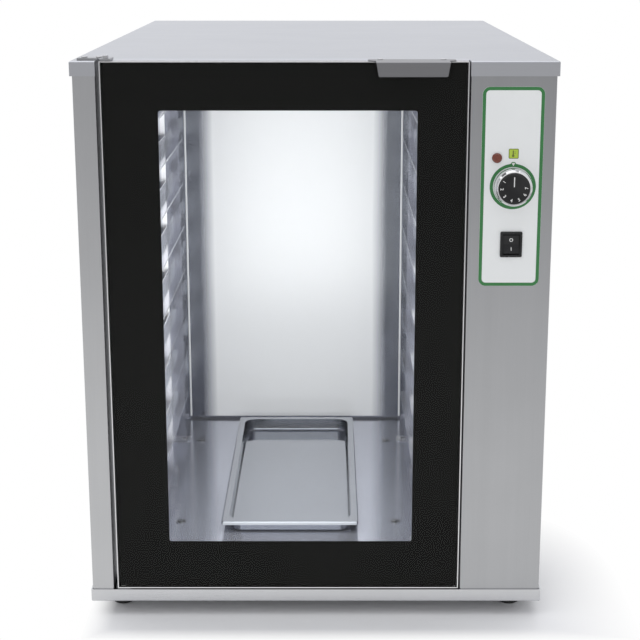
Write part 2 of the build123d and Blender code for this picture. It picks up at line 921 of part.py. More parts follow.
def thermostat_capillary():
    """The capillary from the thermostat's case back and through the wall, with its bulb."""
    x, depth, z = bulb_entry()
    start_z = knob_z + thermostat_length / 2 - 6
    start = (control_x, at(panel_sheet + thermostat_depth), start_z)
    inside_x = chamber_right - 2 * bulb_radius - bulb_wall_gap
    points = [
        start,
        (control_x, at(panel_sheet + thermostat_depth + capillary_run), start_z),
        (control_x, at(depth - capillary_run), z),
        (control_x, at(depth), z),
        (inside_x, at(depth), z),
        (inside_x, at(depth - bulb_lead), z),
    ]
    path = FilletPolyline(*points, radius=capillary_bend_radius).wire()
    section = Plane(origin=path @ 0, z_dir=path % 0) * Circle(capillary_radius)
    tube = sweep(section, path)
    bulb = disc(inside_x, depth - bulb_lead - bulb_length, z, bulb_radius, bulb_length)
    return tube + fillet(bulb.edges(), 2.5)


def bulb_clips():
    """Two spring clips that hold the bulb on the right wall."""
    x, depth, z = bulb_entry()
    centre_x = chamber_right - 2 * bulb_radius - bulb_wall_gap
    made = []
    for back in clip_positions:
        front = depth - back
        clip_depths = (front, front + clip_width)
        collar = disc(centre_x, front, z, bulb_radius + clip_sheet, clip_width)
        foot = block((centre_x, chamber_right), clip_depths, (z + bulb_radius, z + bulb_radius + clip_sheet))
        tab = block((chamber_right - clip_sheet, chamber_right), clip_depths, (z + bulb_radius, z + clip_tab))
        bore = disc(centre_x, front - 1, z, bulb_radius, clip_width + 2)
        made.append(collar + foot + tab - bore)
    return made


def terminal_block():
    """The mains terminals in the bay: a strip with a wire bore and a screw bore for each pole."""
    x0 = gland_x() - terminal_width / 2
    depth0 = body_depth - terminal_back_room
    z_range = (tray_bottom, tray_bottom + terminal_height)
    strip = block((x0, x0 + terminal_width), (depth0, depth0 + terminal_depth), z_range)
    for pole in range(terminal_poles):
        x = x0 + terminal_width * (pole + 0.5) / terminal_poles
        bore_z = tray_bottom + terminal_bore_height
        strip -= disc(x, depth0 - 1, bore_z, terminal_bore, terminal_depth + 2)
        screw_depth = depth0 + terminal_screw_setback
        strip -= column(x, screw_depth, (bore_z, z_range[1] + 1), terminal_screw_bore)
    return strip


# Controls


def control_overlay():
    """The control plate stuck on the fascia, holed for lamp, thermostat and switch."""
    plate = RectangleRounded(overlay_width, overlay_length, overlay_corner)
    centre_z = overlay_top - overlay_length / 2
    face = Plane(origin=(overlay_x, at(0), centre_z), x_dir=(1, 0, 0), z_dir=(0, -1, 0)) * plate
    overlay = extrude(face, overlay_thickness)
    overlay -= disc(control_x, -2, knob_z, neck_radius + seam, 4)
    overlay -= disc(lamp_x, -2, lamp_z, lamp_radius + seam, 4)
    return overlay - switch_cutout(-2, 1)


def knob():
    """The knob's black body: a hub on the shaft, a skirt and a dished face."""
    back = overlay_front - knob_gap
    front = back - knob_height
    hub, skirt = shaft_radius + knob_hub_wall, knob_face_radius - knob_wall
    web, socket = front + knob_web, front + knob_lip
    outline = [
        (shaft_radius, back),
        (hub, back),
        (hub, web),
        (skirt, web),
        (skirt, back - 1),
        (knob_face_radius, back - 1),
        (knob_face_radius, front + 1),
        (knob_face_radius - 1, front),
        (knob_face_radius - knob_lip, front + 0.75 * knob_dish),
        (0, front + knob_dish),
        (0, socket),
        (shaft_radius, socket),
    ]
    return turned(outline, control_x, knob_z)


def knob_ring():
    """The knob's bright outer ring, pressed over its black body."""
    back = overlay_front - knob_gap
    front = back - knob_height
    ring = [
        (knob_face_radius, back),
        (knob_radius, back),
        (knob_radius, back - knob_ring_height + 2),
        (knob_radius - 0.4 * knob_ring_lip, front + knob_lip),
        (knob_radius - knob_ring_lip, front + 0.8),
        (knob_face_radius, front + 1),
    ]
    return turned(ring, control_x, knob_z)


def thermostat_shaft():
    """The turning shaft, from the knob's socket into the thermostat."""
    front = overlay_front - knob_gap - knob_height + knob_lip
    length = panel_sheet + shaft_length - 8 - front
    return disc(control_x, front, knob_z, shaft_radius, length)


def lamp_body():
    """The pilot lamp's barrel through the fascia, with its clip collar and two tags."""
    barrel = disc(lamp_x, overlay_front, lamp_z, lamp_radius, lamp_barrel)
    collar = disc(lamp_x, panel_sheet, lamp_z, lamp_radius + lamp_collar, lamp_collar_length)
    back = overlay_front + lamp_barrel
    tag_depths = (back - 1, back + tag_length)
    tag_z = (lamp_z - tag_width / 4, lamp_z + tag_width / 4)
    tag_places = (lamp_x - lamp_radius / 2 - tag_sheet / 2, lamp_x + lamp_radius / 2 - tag_sheet / 2)
    return barrel + collar + [block((x, x + tag_sheet), tag_depths, tag_z) for x in tag_places]


def lamp_lens():
    """The lamp's domed lens on the overlay."""
    lens = disc(lamp_x, overlay_front - lamp_lens_rise, lamp_z, lamp_lens_radius, lamp_lens_rise)
    return fillet(lens.edges().group_by(Axis.Y)[0], lamp_dome)


def switch_housing():
    """The rocker switch's bezel and body, with the well and pin holes of its rocker."""
    half_width, half_length = switch_width / 2, switch_length / 2
    bezel_front = overlay_front - switch_bezel
    x_range = (control_x - half_width, control_x + half_width)
    bezel = block(x_range, (bezel_front, overlay_front), (switch_z - half_length, switch_z + half_length))
    bezel = fillet(bezel.edges().filter_by(Axis.Y), 1.5)
    bezel = chamfer(bezel.faces().sort_by(Axis.Y)[0].edges(), 0.8)
    inner_width, inner_length = half_width - switch_wall / 2, half_length - switch_wall / 2
    body_x = (control_x - inner_width, control_x + inner_width)
    body_depths = (overlay_front - 1, overlay_front + switch_body_depth)
    body = block(body_x, body_depths, (switch_z - inner_length, switch_z + inner_length))
    well_width, well_length = half_width - switch_wall, half_length - switch_wall
    well_x = (control_x - well_width, control_x + well_width)
    well_depths = (bezel_front - 1, overlay_front + switch_well)
    well = block(well_x, well_depths, (switch_z - well_length, switch_z + well_length))
    rises = (-switch_tag_spacing, 0, switch_tag_spacing)
    tags = [spade_tag(body_depths[1], switch_z + rise) for rise in rises]
    return bezel + body - well + tags - rocker_pin(rocker_pin_radius + pin_play, switch_wall * 0.4)


def rocker_pin(radius, extra):
    """The rocker's pivot pin along X, or its holes."""
    length = 2 * (switch_width / 2 - switch_wall + extra)
    return Pos(control_x, at(rocker_axis()), switch_z) * Rot(0, 90, 0) * Cylinder(radius, length)


def rocker_axis():
    """The depth of the rocker's pivot."""
    return overlay_front + rocker_setback


def rocker():
    """The rocker at rest with its upper half, O, pressed in: two faces that meet in a valley."""
    half_width = switch_width / 2 - switch_wall - rocker_play
    half_length = switch_length / 2 - switch_wall - rocker_play
    axis = rocker_axis()
    peak, valley, skirt = axis - rocker_peak, axis - rocker_valley, axis + rocker_skirt
    outline = [
        (peak, half_length - 0.7),
        (valley, 0.0),
        (peak, -half_length + 0.7),
        (skirt - 2, -half_length + 0.9),
        (skirt, -half_length / 3),
        (skirt, half_length / 3),
        (skirt - 2, half_length - 0.9),
    ]
    body = side_prism([(depth, switch_z + z) for depth, z in outline], control_x, 2 * half_width)
    body = fillet(body.edges().filter_by(Axis.X).group_by(Axis.Y)[0], 0.8)
    body += rocker_pin(rocker_pin_radius, switch_wall * 0.3)
    pivot = Axis((control_x, at(axis), switch_z), (1, 0, 0))
    return body.rotate(pivot, -rocker_angle)


# Door


def door_frame():
    """The door's folded frame: edge walls round the glass, a rear face and an inner wall."""
    edge_x, edge_z = (door_left, door_right), (door_bottom, door_top)
    frame = block(edge_x, (0, door_depth), edge_z)
    frame = fillet(frame.edges().filter_by(Axis.Y), 1.0)
    frame = fillet(hinge_heel(frame), door_heel_radius)
    rail = door_rail
    window_x = (door_left + rail, door_right - rail)
    window_z = (door_bottom + rail, door_top - rail)
    frame -= block(window_x, (-1, door_depth + 1), window_z)
    wall = door_sheet
    glass_seat = block(
        (door_left + wall, door_right - wall), (-1, glass_thickness), (door_bottom + wall, door_top - wall)
    )
    frame -= glass_seat
    pocket = block(
        (door_left + wall, door_right - wall),
        (glass_thickness - 1, door_depth - wall),
        (door_bottom + wall, door_top - wall),
    )
    pocket = fillet(hinge_heel(pocket), door_heel_radius - wall)
    core = block(
        (window_x[0] - wall, window_x[1] + wall),
        (-2, door_depth + 2),
        (window_z[0] - wall, window_z[1] + wall),
    )
    frame -= pocket - core
    for z0, z1 in ((door_bottom - 1, door_bottom + wall + 1), (door_top - wall - 1, door_top + 1)):
        frame -= column(pin_x, pin_depth, (z0, z1), pin_radius + pin_play + bush_wall)
    return frame


def hinge_heel(shape):
    """The upright edge at the rear of a shape's hinge side, rounded so that it swings clear of the seal."""
    return shape.edges().filter_by(Axis.Z).group_by(Axis.X)[0].sort_by(Axis.Y)[-1]


def door_glass():
    """The toughened glass in the front of the frame."""
    inset = door_sheet + glass_play
    x_range = (door_left + inset, door_right - inset)
    glass = block(x_range, (0, glass_thickness), (door_bottom + inset, door_top - inset))
    return fillet(glass.edges().filter_by(Axis.Y), 1.5)


def hinge_bushes():
    """The plastic bushes in the door's top and bottom edges."""
    outer = pin_radius + pin_play + bush_wall
    made = []
    for edge, direction in ((door_bottom, 1), (door_top, -1)):
        inside = edge + direction * bush_length
        under = edge + direction * door_sheet
        body = column(pin_x, pin_depth, sorted((edge, inside)), outer)
        collar_z = sorted((under, under + direction * bush_collar_height))
        collar = column(pin_x, pin_depth, collar_z, outer + bush_collar)
        bore = column(pin_x, pin_depth, (edge - 40, edge + 40), pin_radius + pin_play)
        made.append(body + collar - bore)
    return made


def upper_hinge_plate():
    """The plate over the door's top corner that holds the upper pin."""
    left = pin_x + hinge_nose_radius - hinge_plate_length
    back = pin_depth - hinge_nose_radius + hinge_plate_depth
    outline = [
        (left, pin_depth + hinge_plate_inset),
        (pin_x - hinge_nose_radius - 3.5, pin_depth + hinge_plate_inset),
        (pin_x - hinge_nose_radius, pin_depth - hinge_nose_radius),
        (pin_x + hinge_nose_radius, pin_depth - hinge_nose_radius),
        (pin_x + hinge_nose_radius, back),
        (left, back),
    ]
    face = make_face(Polyline(*[(x, at(depth)) for x, depth in outline], close=True).edges())
    plate = Pos(0, 0, cabinet_height) * extrude(face, hinge_plate_thickness)
    plate = fillet(plate.edges().filter_by(Axis.Z), bend_radius)
    bore_z = (cabinet_height - 1, cabinet_height + 2 * hinge_plate_thickness)
    return plate - column(pin_x, pin_depth, bore_z, pin_radius)


def lower_hinge_bracket():
    """The folded bracket behind the plinth that holds the lower pin."""
    top = door_bottom - door_drop
    x_range = (pin_x + 1 - bracket_width / 2, pin_x + 1 + bracket_width / 2)
    shelf = block(x_range, (seam, surround_front), (top - hinge_plate_thickness, top))
    shelf = fillet(shelf.edges().filter_by(Axis.Z).group_by(Axis.Y)[0], 4)
    web = block(x_range, (surround_front - bracket_web, surround_front), (tray_bottom, top))
    foot = block(x_range, (bracket_web * 2, surround_front), (tray_bottom, tray_bottom + bracket_foot))
    return shelf + web + foot - column(pin_x, pin_depth, (tray_bottom, top + 1), pin_radius)


def hinge_pins():
    """The upper pin with its head above the plate, and the lower pin."""
    plate_top = cabinet_height + hinge_plate_thickness
    upper = column(pin_x, pin_depth, (door_top - bush_length + 1, plate_top), pin_radius)
    head_radius = pin_radius + pin_head_rim
    head = column(pin_x, pin_depth, (plate_top, plate_top + pin_head_rise), head_radius)
    head = fillet(head.edges().group_by(Axis.Z)[-1], screw_head_round)
    shelf_bottom = door_bottom - door_drop - hinge_plate_thickness
    lower = column(pin_x, pin_depth, (shelf_bottom, door_bottom + bush_length - 1), pin_radius)
    collar = column(pin_x, pin_depth, (shelf_bottom - pin_head_rise / 2, shelf_bottom), head_radius)
    return [upper + head, lower + collar]


def hinge_screws():
    """The two screws that hold the upper hinge plate down on the cover."""
    seat = cabinet_height + hinge_plate_thickness
    first = pin_x + hinge_nose_radius - hinge_plate_length + hinge_screw_inset
    depth = pin_depth + hinge_screw_setback
    made = []
    for x in (first, first + hinge_screw_spacing):
        head = column(x, depth, (seat, seat + screw_head_height), screw_head_radius)
        made.append(fillet(head.edges().group_by(Axis.Z)[-1], screw_head_round))
    return made


def door_handle():
    """The folded tab: seated on the door's top edge, out over the glass and down."""
    centre = door_right - handle_from_latch
    root, tip = handle_root_width / 2, handle_width / 2
    outline = [
        (centre - root, door_depth - handle_setback),
        (centre - root, -1),
        (centre - tip, -handle_flare),
        (centre - tip, -handle_reach),
        (centre + tip, -handle_reach),
        (centre + tip, -handle_flare),
        (centre + root, -1),
        (centre + root, door_depth - handle_setback),
    ]
    face = make_face(Polyline(*[(x, at(depth)) for x, depth in outline], close=True).edges())
    tab = Pos(0, 0, door_top) * extrude(face, handle_sheet)
    shoulders = tab.edges().filter_by(Axis.Z).filter_by(lambda edge: edge.center().Y > at(-handle_reach / 2))
    tab = fillet(shoulders, handle_corner)
    top = door_top + handle_sheet
    low = top - handle_drop
    lip_outline = [
        (centre - tip, top),
        (centre - handle_tip_width / 2, low),
        (centre + handle_tip_width / 2, low),
        (centre + tip, top),
    ]
    lip_path = Polyline(*[(x, at(-handle_reach), z) for x, z in lip_outline], close=True)
    lip = extrude(make_face(lip_path.edges()), handle_sheet, dir=(0, 1, 0))
    lip = fillet(lip.edges().filter_by(Axis.Y).group_by(Axis.Z)[0], bend_radius)
    hem_half = handle_tip_width / 2 - handle_hem_inset
    hem_depths = (-handle_reach + handle_sheet, -handle_reach + 2 * handle_sheet)
    hem = block((centre - hem_half, centre + hem_half), hem_depths, (low, low + handle_hem))
    handle = tab + lip + hem
    fold = handle.edges().filter_by(Axis.X).group_by(Axis.Y)[0].sort_by(Axis.Z)[-1]
    return fillet(fold, handle_sheet - 0.1)


def handle_screws():
    """The two screws that hold the tab to the door's top edge."""
    centre = door_right - handle_from_latch
    seat = door_top + handle_sheet
    made = []
    for side in (-1, 1):
        x = centre + side * (handle_root_width / 2 - handle_screw_inset)
        z_range = (seat, seat + 0.6 * screw_head_height)
        head = column(x, handle_screw_setback, z_range, 0.9 * screw_head_radius)
        made.append(fillet(head.edges().group_by(Axis.Z)[-1], 0.75 * screw_head_round))
    return made


def magnet_x_range():
    """The catch's place between the gasket and the fascia."""
    start = chamber_shift + opening_half + gasket_width + magnet_side_gap
    return start, start + magnet_width


def magnetic_catch():
    """The magnet on the surround, with its two pole plates."""
    x0, x1 = magnet_x_range()
    z_range = (magnet_middle - magnet_length / 2, magnet_middle + magnet_length / 2)
    front = door_depth + strike_thickness + seal_clearance
    pole = magnet_pole
    magnet = block((x0 + pole, x1 - pole), (front + magnet_setback, surround_front), z_range)
    poles = [block(x, (front, surround_front), z_range) for x in ((x0, x0 + pole), (x1 - pole, x1))]
    return magnet + poles


def strike_plate():
    """The steel plate on the door that the magnet holds."""
    z_range = (magnet_middle - magnet_length / 2, magnet_middle + magnet_length / 2)
    plate = block(magnet_x_range(), (door_depth, door_depth + strike_thickness), z_range)
    return fillet(plate.edges().filter_by(Axis.Y), strike_corner)


# Water pan


def water_pan():
    """The drawn pan on the floor: a flat rim with a turned-down edge round a tapered basin."""
    centre = Pos(chamber_shift + pan_shift, at(pan_front + pan_length / 2), 0)
    bottom = chamber_floor_height + pan_play
    top = bottom + pan_height
    outer = RectangleRounded(pan_width, pan_length, pan_outer_corner)
    edge = Pos(0, 0, top - pan_edge) * extrude(outer, pan_edge)
    edge = fillet(edge.faces().sort_by(Axis.Z)[-1].edges(), pan_sheet * 1.5)
    under = RectangleRounded(
        pan_width - 2 * pan_sheet, pan_length - 2 * pan_sheet, pan_outer_corner - pan_sheet
    )
    edge -= Pos(0, 0, top - pan_edge - 1) * extrude(under, pan_edge + 1 - pan_sheet)
    mouth_width, mouth_length = pan_width - 2 * pan_rim, pan_length - 2 * pan_rim
    mouth = RectangleRounded(mouth_width, mouth_length, pan_corner)
    shell = Pos(0, 0, top) * extrude(mouth, -pan_height, taper=pan_taper)
    shell = fillet(shell.faces().sort_by(Axis.Z)[0].edges(), pan_heel_radius)
    hollow_mouth = RectangleRounded(
        mouth_width - 2 * pan_sheet, mouth_length - 2 * pan_sheet, pan_corner - pan_sheet
    )
    hollow = Pos(0, 0, top) * extrude(hollow_mouth, -(pan_height - pan_sheet), taper=pan_taper)
    hollow = fillet(hollow.faces().sort_by(Axis.Z)[0].edges(), pan_heel_radius - pan_sheet)
    return centre * (edge + shell - hollow)


def solids_of(shape):
    """The separate solids of a shape or of a list of shapes."""
    shapes = shape if isinstance(shape, list) else [shape]
    return [solid for piece in shapes for solid in piece.solids()]


def mirrored_list(shapes):
    """Every shape of a list, reflected to the chamber's other side."""
    return [mirrored(shape) for shape in shapes]


def parts():
    """Every node's name with its solids."""
    return {
        "base_tray": base_tray(),
        "top_cover": top_cover(),
        "left_side_panel": left_side_panel(),
        "right_side_panel": right_side_panel(),
        "control_fascia": control_fascia(),
        "rear_panel": rear_panel(),
        "rear_screws": rear_screws(),
        "cable_gland": cable_gland(),
        "feet": feet(),
        "foot_studs": foot_studs(),
        "front_surround": front_surround(),
        "chamber_floor": chamber_floor(),
        "chamber_ceiling": chamber_ceiling(),
        "chamber_left_wall": chamber_left_wall(),
        "chamber_right_wall": chamber_right_wall(),
        "chamber_back_wall": chamber_back_wall(),
        "rear_baffle": rear_baffle(),
        "door_gasket": door_gasket(),
        "left_insulation": left_insulation(),
        "right_insulation": right_insulation(),
        "back_insulation": back_insulation(),
        "top_insulation": top_insulation(),
        "bay_partition": bay_partition(),
        "floor_supports": floor_supports(),
        "left_uprights": left_uprights(),
        "right_uprights": mirrored_list(left_uprights()),
        "left_runners": left_runners(),
        "right_runners": mirrored_list(left_runners()),
        "rack_screws": rack_screws(),
        "floor_screws": floor_screws(),
        "heating_element": heating_element(),
        "heater_clamps": heater_clamps(),
        "thermostat_body": thermostat_body(),
        "thermostat_capillary": thermostat_capillary(),
        "bulb_clips": bulb_clips(),
        "terminal_block": terminal_block(),
        "control_overlay": control_overlay(),
        "knob": knob(),
        "knob_ring": knob_ring(),
        "thermostat_shaft": thermostat_shaft(),
        "lamp_body": lamp_body(),
        "lamp_lens": lamp_lens(),
        "switch_housing": switch_housing(),
        "rocker": rocker(),
        "door_frame": door_frame(),
        "door_glass": door_glass(),
        "hinge_bushes": hinge_bushes(),
        "upper_hinge_plate": upper_hinge_plate(),
        "lower_hinge_bracket": lower_hinge_bracket(),
        "hinge_pins": hinge_pins(),
        "hinge_screws": hinge_screws(),
        "door_handle": door_handle(),
        "handle_screws": handle_screws(),
        "magnetic_catch": magnetic_catch(),
        "strike_plate": strike_plate(),
        "water_pan": water_pan(),
    }


os.makedirs("parts", exist_ok=True)
for name, shape in parts().items():
    export_step(Compound(solids_of(shape)), f"parts/{name}.step")
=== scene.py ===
import math

import bmesh
import bpy
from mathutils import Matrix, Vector
from mathutils.bvhtree import BVHTree


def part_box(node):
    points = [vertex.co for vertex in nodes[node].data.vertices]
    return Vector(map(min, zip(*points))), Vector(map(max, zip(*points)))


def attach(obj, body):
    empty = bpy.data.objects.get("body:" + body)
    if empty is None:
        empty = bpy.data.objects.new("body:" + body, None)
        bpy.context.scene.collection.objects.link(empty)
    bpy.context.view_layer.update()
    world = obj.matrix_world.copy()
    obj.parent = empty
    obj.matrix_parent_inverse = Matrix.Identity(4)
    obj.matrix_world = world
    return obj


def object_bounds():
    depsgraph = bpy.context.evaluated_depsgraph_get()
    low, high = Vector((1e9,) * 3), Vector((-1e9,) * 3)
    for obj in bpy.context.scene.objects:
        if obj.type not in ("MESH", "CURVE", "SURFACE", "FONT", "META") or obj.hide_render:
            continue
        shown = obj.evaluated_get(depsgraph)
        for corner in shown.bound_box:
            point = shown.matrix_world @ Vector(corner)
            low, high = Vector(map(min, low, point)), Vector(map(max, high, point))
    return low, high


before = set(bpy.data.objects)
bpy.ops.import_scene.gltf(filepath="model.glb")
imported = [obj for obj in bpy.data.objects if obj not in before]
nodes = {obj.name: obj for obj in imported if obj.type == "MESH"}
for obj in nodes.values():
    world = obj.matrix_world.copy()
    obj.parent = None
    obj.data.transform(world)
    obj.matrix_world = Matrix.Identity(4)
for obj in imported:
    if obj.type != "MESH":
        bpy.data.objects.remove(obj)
cad_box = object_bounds()

MM = 0.001
GLASS_IOR = 1.18

# The photograph's view. The eye stands in front of the door, a little above the cabinet's top.
EYE_DISTANCE = 1.611
EYE_X = 0.016
EYE_Z = 0.868
PITCH = math.radians(12.55)
LENS = 75.3
SENSOR_WIDTH = 36.0
SHIFT = (-0.0125, -0.13)

low, high = cad_box
glass_low, glass_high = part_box("door_glass")
overlay_low, overlay_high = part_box("control_overlay")
knob_low, knob_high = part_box("knob")
rocker_low, rocker_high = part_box("rocker")
baffle_low, baffle_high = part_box("rear_baffle")
front_y = glass_low.y


# Node helpers


def shader_tree(name):
    """A new material with an empty tree and its output node."""
    material = bpy.data.materials.new(name)
    material.use_nodes = True
    tree = material.node_tree
    tree.nodes.clear()
    output = tree.nodes.new("ShaderNodeOutputMaterial")
    return material, tree, output


def add(tree, kind, settings=None, **inputs):
    """A new node, with properties from settings and its inputs given as values or as sockets."""
    node = tree.nodes.new(kind)
    for key, value in (settings or {}).items():
        setattr(node, key, value)
    for key, value in inputs.items():
        feed(tree, node.inputs[key.replace("_", " ")], value)
    return node


def feed(tree, socket, value):
    """Sets an input, or links it when the value is another node's output."""
    if isinstance(value, bpy.types.NodeSocket):
        tree.links.new(value, socket)
    else:
        socket.default_value = value


def colour(red, green, blue):
    return (red, green, blue, 1.0)


def scaled_tint(tint, factor):
    """A lighter or darker tone of a tint, no brighter than white."""
    return colour(*(min(value * factor, 1.0) for value in tint))


def object_place(tree):
    """The place of a point in the frame's own metres."""
    return add(tree, "ShaderNodeTexCoord").outputs["Object"]


def scaled_noise(tree, scale, detail=3.0, roughness=0.5, offset=(0, 0, 0)):
    """Noise in the frame's own metres, stretched by a scale for each axis."""
    mapping = add(tree, "ShaderNodeMapping", Vector=object_place(tree), Scale=scale, Location=offset)
    noise = add(tree, "ShaderNodeTexNoise", Vector=mapping.outputs["Vector"], Scale=1.0,
                Detail=detail, Roughness=roughness)
    return noise.outputs["Fac"]


def remap(tree, value, low_in, high_in, low_out=0.0, high_out=1.0):
    """A straight ramp between two values, held level past both ends."""
    limits = {"From_Min": low_in, "From_Max": high_in, "To_Min": low_out, "To_Max": high_out}
    return add(tree, "ShaderNodeMapRange", Value=value, **limits).outputs["Result"]


def mix_colours(tree, factor, first, second, blend="MIX"):
    node = add(tree, "ShaderNodeMix", {"data_type": "RGBA", "blend_type": blend})
    feed(tree, node.inputs[0], factor)
    feed(tree, node.inputs[6], first)
    feed(tree, node.inputs[7], second)
    return node.outputs[2]


def arithmetic(tree, operation, first, second):
    node = add(tree, "ShaderNodeMath", {"operation": operation})
    feed(tree, node.inputs[0], first)
    feed(tree, node.inputs[1], second)
    return node.outputs[0]


def bump_from(tree, height, strength, distance):
    return add(tree, "ShaderNodeBump", Height=height, Strength=strength, Distance=distance).outputs["Normal"]


def mix_surfaces(tree, output, factor, first, second):
    """Links a mix of two shaders to the output: all first at zero, all second at one."""
    mixed = add(tree, "ShaderNodeMixShader")
    feed(tree, mixed.inputs[0], factor)
    tree.links.new(first.outputs[0], mixed.inputs[1])
    tree.links.new(second.outputs[0], mixed.inputs[2])
    tree.links.new(mixed.outputs[0], output.inputs["Surface"])


def principled_node(tree):
    """The one principled shader of a finished material."""
    return next(node for node in tree.nodes if node.type == "BSDF_PRINCIPLED")


# Materials


def brushed_steel(name, tint, roughness, grain="z", grain_depth=0.05, smudge=0.05, bump=0.06, satin=0.0):
    """Rolled stainless sheet: fine parallel grain along one axis, faint smudges and uneven gloss.

    Satin is the share of light that the sheet scatters instead of mirroring it.
    """
    material, tree, output = shader_tree(name)
    across, along = 1800.0, 14.0
    scale = tuple(along if axis == grain else across for axis in "xyz")
    fine = scaled_noise(tree, scale, detail=4.0, roughness=0.65)
    broad_scale = tuple(1.2 if axis == grain else 60.0 for axis in "xyz")
    broad = scaled_noise(tree, broad_scale, detail=3.0, offset=(3.1, 1.7, 0.4))
    cloud = scaled_noise(tree, (5.0, 5.0, 5.0), detail=4.0, roughness=0.6, offset=(0.8, 2.3, 5.1))
    grained = mix_colours(tree, fine, scaled_tint(tint, 1 - grain_depth), scaled_tint(tint, 1 + grain_depth))
    banded = remap(tree, broad, 0.3, 0.7, 0.985, 1.015)
    smudged = remap(tree, cloud, 0.35, 0.75, 1.0, 1.0 - smudge)
    shade = arithmetic(tree, "MULTIPLY", banded, smudged)
    tone = add(tree, "ShaderNodeCombineColor", Red=shade, Green=shade, Blue=shade).outputs[0]
    base = mix_colours(tree, 1.0, grained, tone, "MULTIPLY")
    gloss = remap(tree, fine, 0.25, 0.75, roughness - 0.02, roughness + 0.025)
    clouded = remap(tree, cloud, 0.4, 0.8, 0.0, 0.04)
    rough = arithmetic(tree, "ADD", gloss, clouded)
    normal = bump_from(tree, fine, bump, 0.00006)
    steel = add(tree, "ShaderNodeBsdfPrincipled", Base_Color=base, Metallic=1.0 - satin, Roughness=rough,
                Normal=normal)
    tree.links.new(steel.outputs[0], output.inputs["Surface"])
    return material


def polished_metal(name, tint, roughness, wear=0.05):
    """Turned, plated or pressed metal with an even shine and faint handling marks."""
    material, tree, output = shader_tree(name)
    marks = scaled_noise(tree, (160.0, 160.0, 160.0), detail=5.0, roughness=0.7)
    cloud = scaled_noise(tree, (18.0, 18.0, 18.0), detail=3.0, offset=(4.0, 1.0, 2.0))
    base = mix_colours(tree, cloud, scaled_tint(tint, 1 - wear), colour(*tint))
    rough = remap(tree, marks, 0.3, 0.8, roughness * 0.8, roughness * 1.35)
    normal = bump_from(tree, marks, 0.03, 0.0001)
    metal = add(tree, "ShaderNodeBsdfPrincipled", Base_Color=base, Metallic=1.0, Roughness=rough,
                Normal=normal)
    tree.links.new(metal.outputs[0], output.inputs["Surface"])
    return material


def moulded_plastic(name, tint, roughness, grain=2600.0, bump=0.15, specular=0.5):
    """Injection-moulded plastic with a fine spark-eroded texture and a little dust."""
    material, tree, output = shader_tree(name)
    texture = scaled_noise(tree, (grain, grain, grain), detail=2.0)
    cloud = scaled_noise(tree, (45.0, 45.0, 45.0), detail=4.0, offset=(1.0, 6.0, 2.0))
    dusty = colour(*(value + 0.012 for value in tint))
    base = mix_colours(tree, remap(tree, cloud, 0.4, 0.8), colour(*tint), dusty)
    rough = remap(tree, cloud, 0.3, 0.8, roughness - 0.04, roughness + 0.08)
    normal = bump_from(tree, texture, bump, 0.00008)
    plastic = add(tree, "ShaderNodeBsdfPrincipled", Base_Color=base, Roughness=rough, Normal=normal)
    plastic.inputs["Specular IOR Level"].default_value = specular
    tree.links.new(plastic.outputs[0], output.inputs["Surface"])
    return material


def soft_rubber(name, tint, roughness):
    """Rubber or silicone: matt, with a slight bloom and moulding texture."""
    material, tree, output = shader_tree(name)
    texture = scaled_noise(tree, (900.0, 900.0, 900.0), detail=4.0)
    bloom = scaled_noise(tree, (70.0, 70.0, 70.0), detail=3.0, offset=(2.0, 2.0, 7.0))
    pale = colour(*(value * 0.85 + 0.03 for value in tint))
    base = mix_colours(tree, remap(tree, bloom, 0.35, 0.8), colour(*tint), pale)
    normal = bump_from(tree, texture, 0.2, 0.0001)
    rubber = add(tree, "ShaderNodeBsdfPrincipled", Base_Color=base, Roughness=roughness, Normal=normal)
    tree.links.new(rubber.outputs[0], output.inputs["Surface"])
    return material


def door_glass():
    """Clear float glass, faintly green, which lets lamps and soft light through."""
    material, tree, output = shader_tree("door_glass_clear")
    cloud = scaled_noise(tree, (7.0, 7.0, 7.0), detail=4.0)
    tint = mix_colours(tree, cloud, colour(0.975, 0.99, 0.985), colour(0.985, 0.995, 0.99))
    glass = add(tree, "ShaderNodeBsdfPrincipled", Base_Color=tint, Roughness=0.0)
    glass.inputs["Transmission Weight"].default_value = 1.0
    glass.inputs["IOR"].default_value = GLASS_IOR
    clear = add(tree, "ShaderNodeBsdfTransparent", Color=colour(0.94, 0.965, 0.96))
    path = add(tree, "ShaderNodeLightPath")
    passes = arithmetic(tree, "MAXIMUM", path.outputs["Is Shadow Ray"], path.outputs["Is Diffuse Ray"])
    mix_surfaces(tree, output, passes, glass, clear)
    return material


def printed_ink(name, tint, roughness=0.4, speckle=0.06, specular=0.5):
    """Screen-printed ink: an even film with a fine speckle and a slight tone change."""
    material, tree, output = shader_tree(name)
    fine = scaled_noise(tree, (2200.0, 2200.0, 2200.0), detail=2.0)
    cloud = scaled_noise(tree, (30.0, 30.0, 30.0), detail=3.0)
    base = mix_colours(tree, cloud, scaled_tint(tint, 1 - speckle), scaled_tint(tint, 1 + speckle))
    normal = bump_from(tree, fine, 0.05, 0.00004)
    ink = add(tree, "ShaderNodeBsdfPrincipled", Base_Color=base, Roughness=roughness, Normal=normal)
    ink.inputs["Specular IOR Level"].default_value = specular
    tree.links.new(ink.outputs[0], output.inputs["Surface"])
    return material


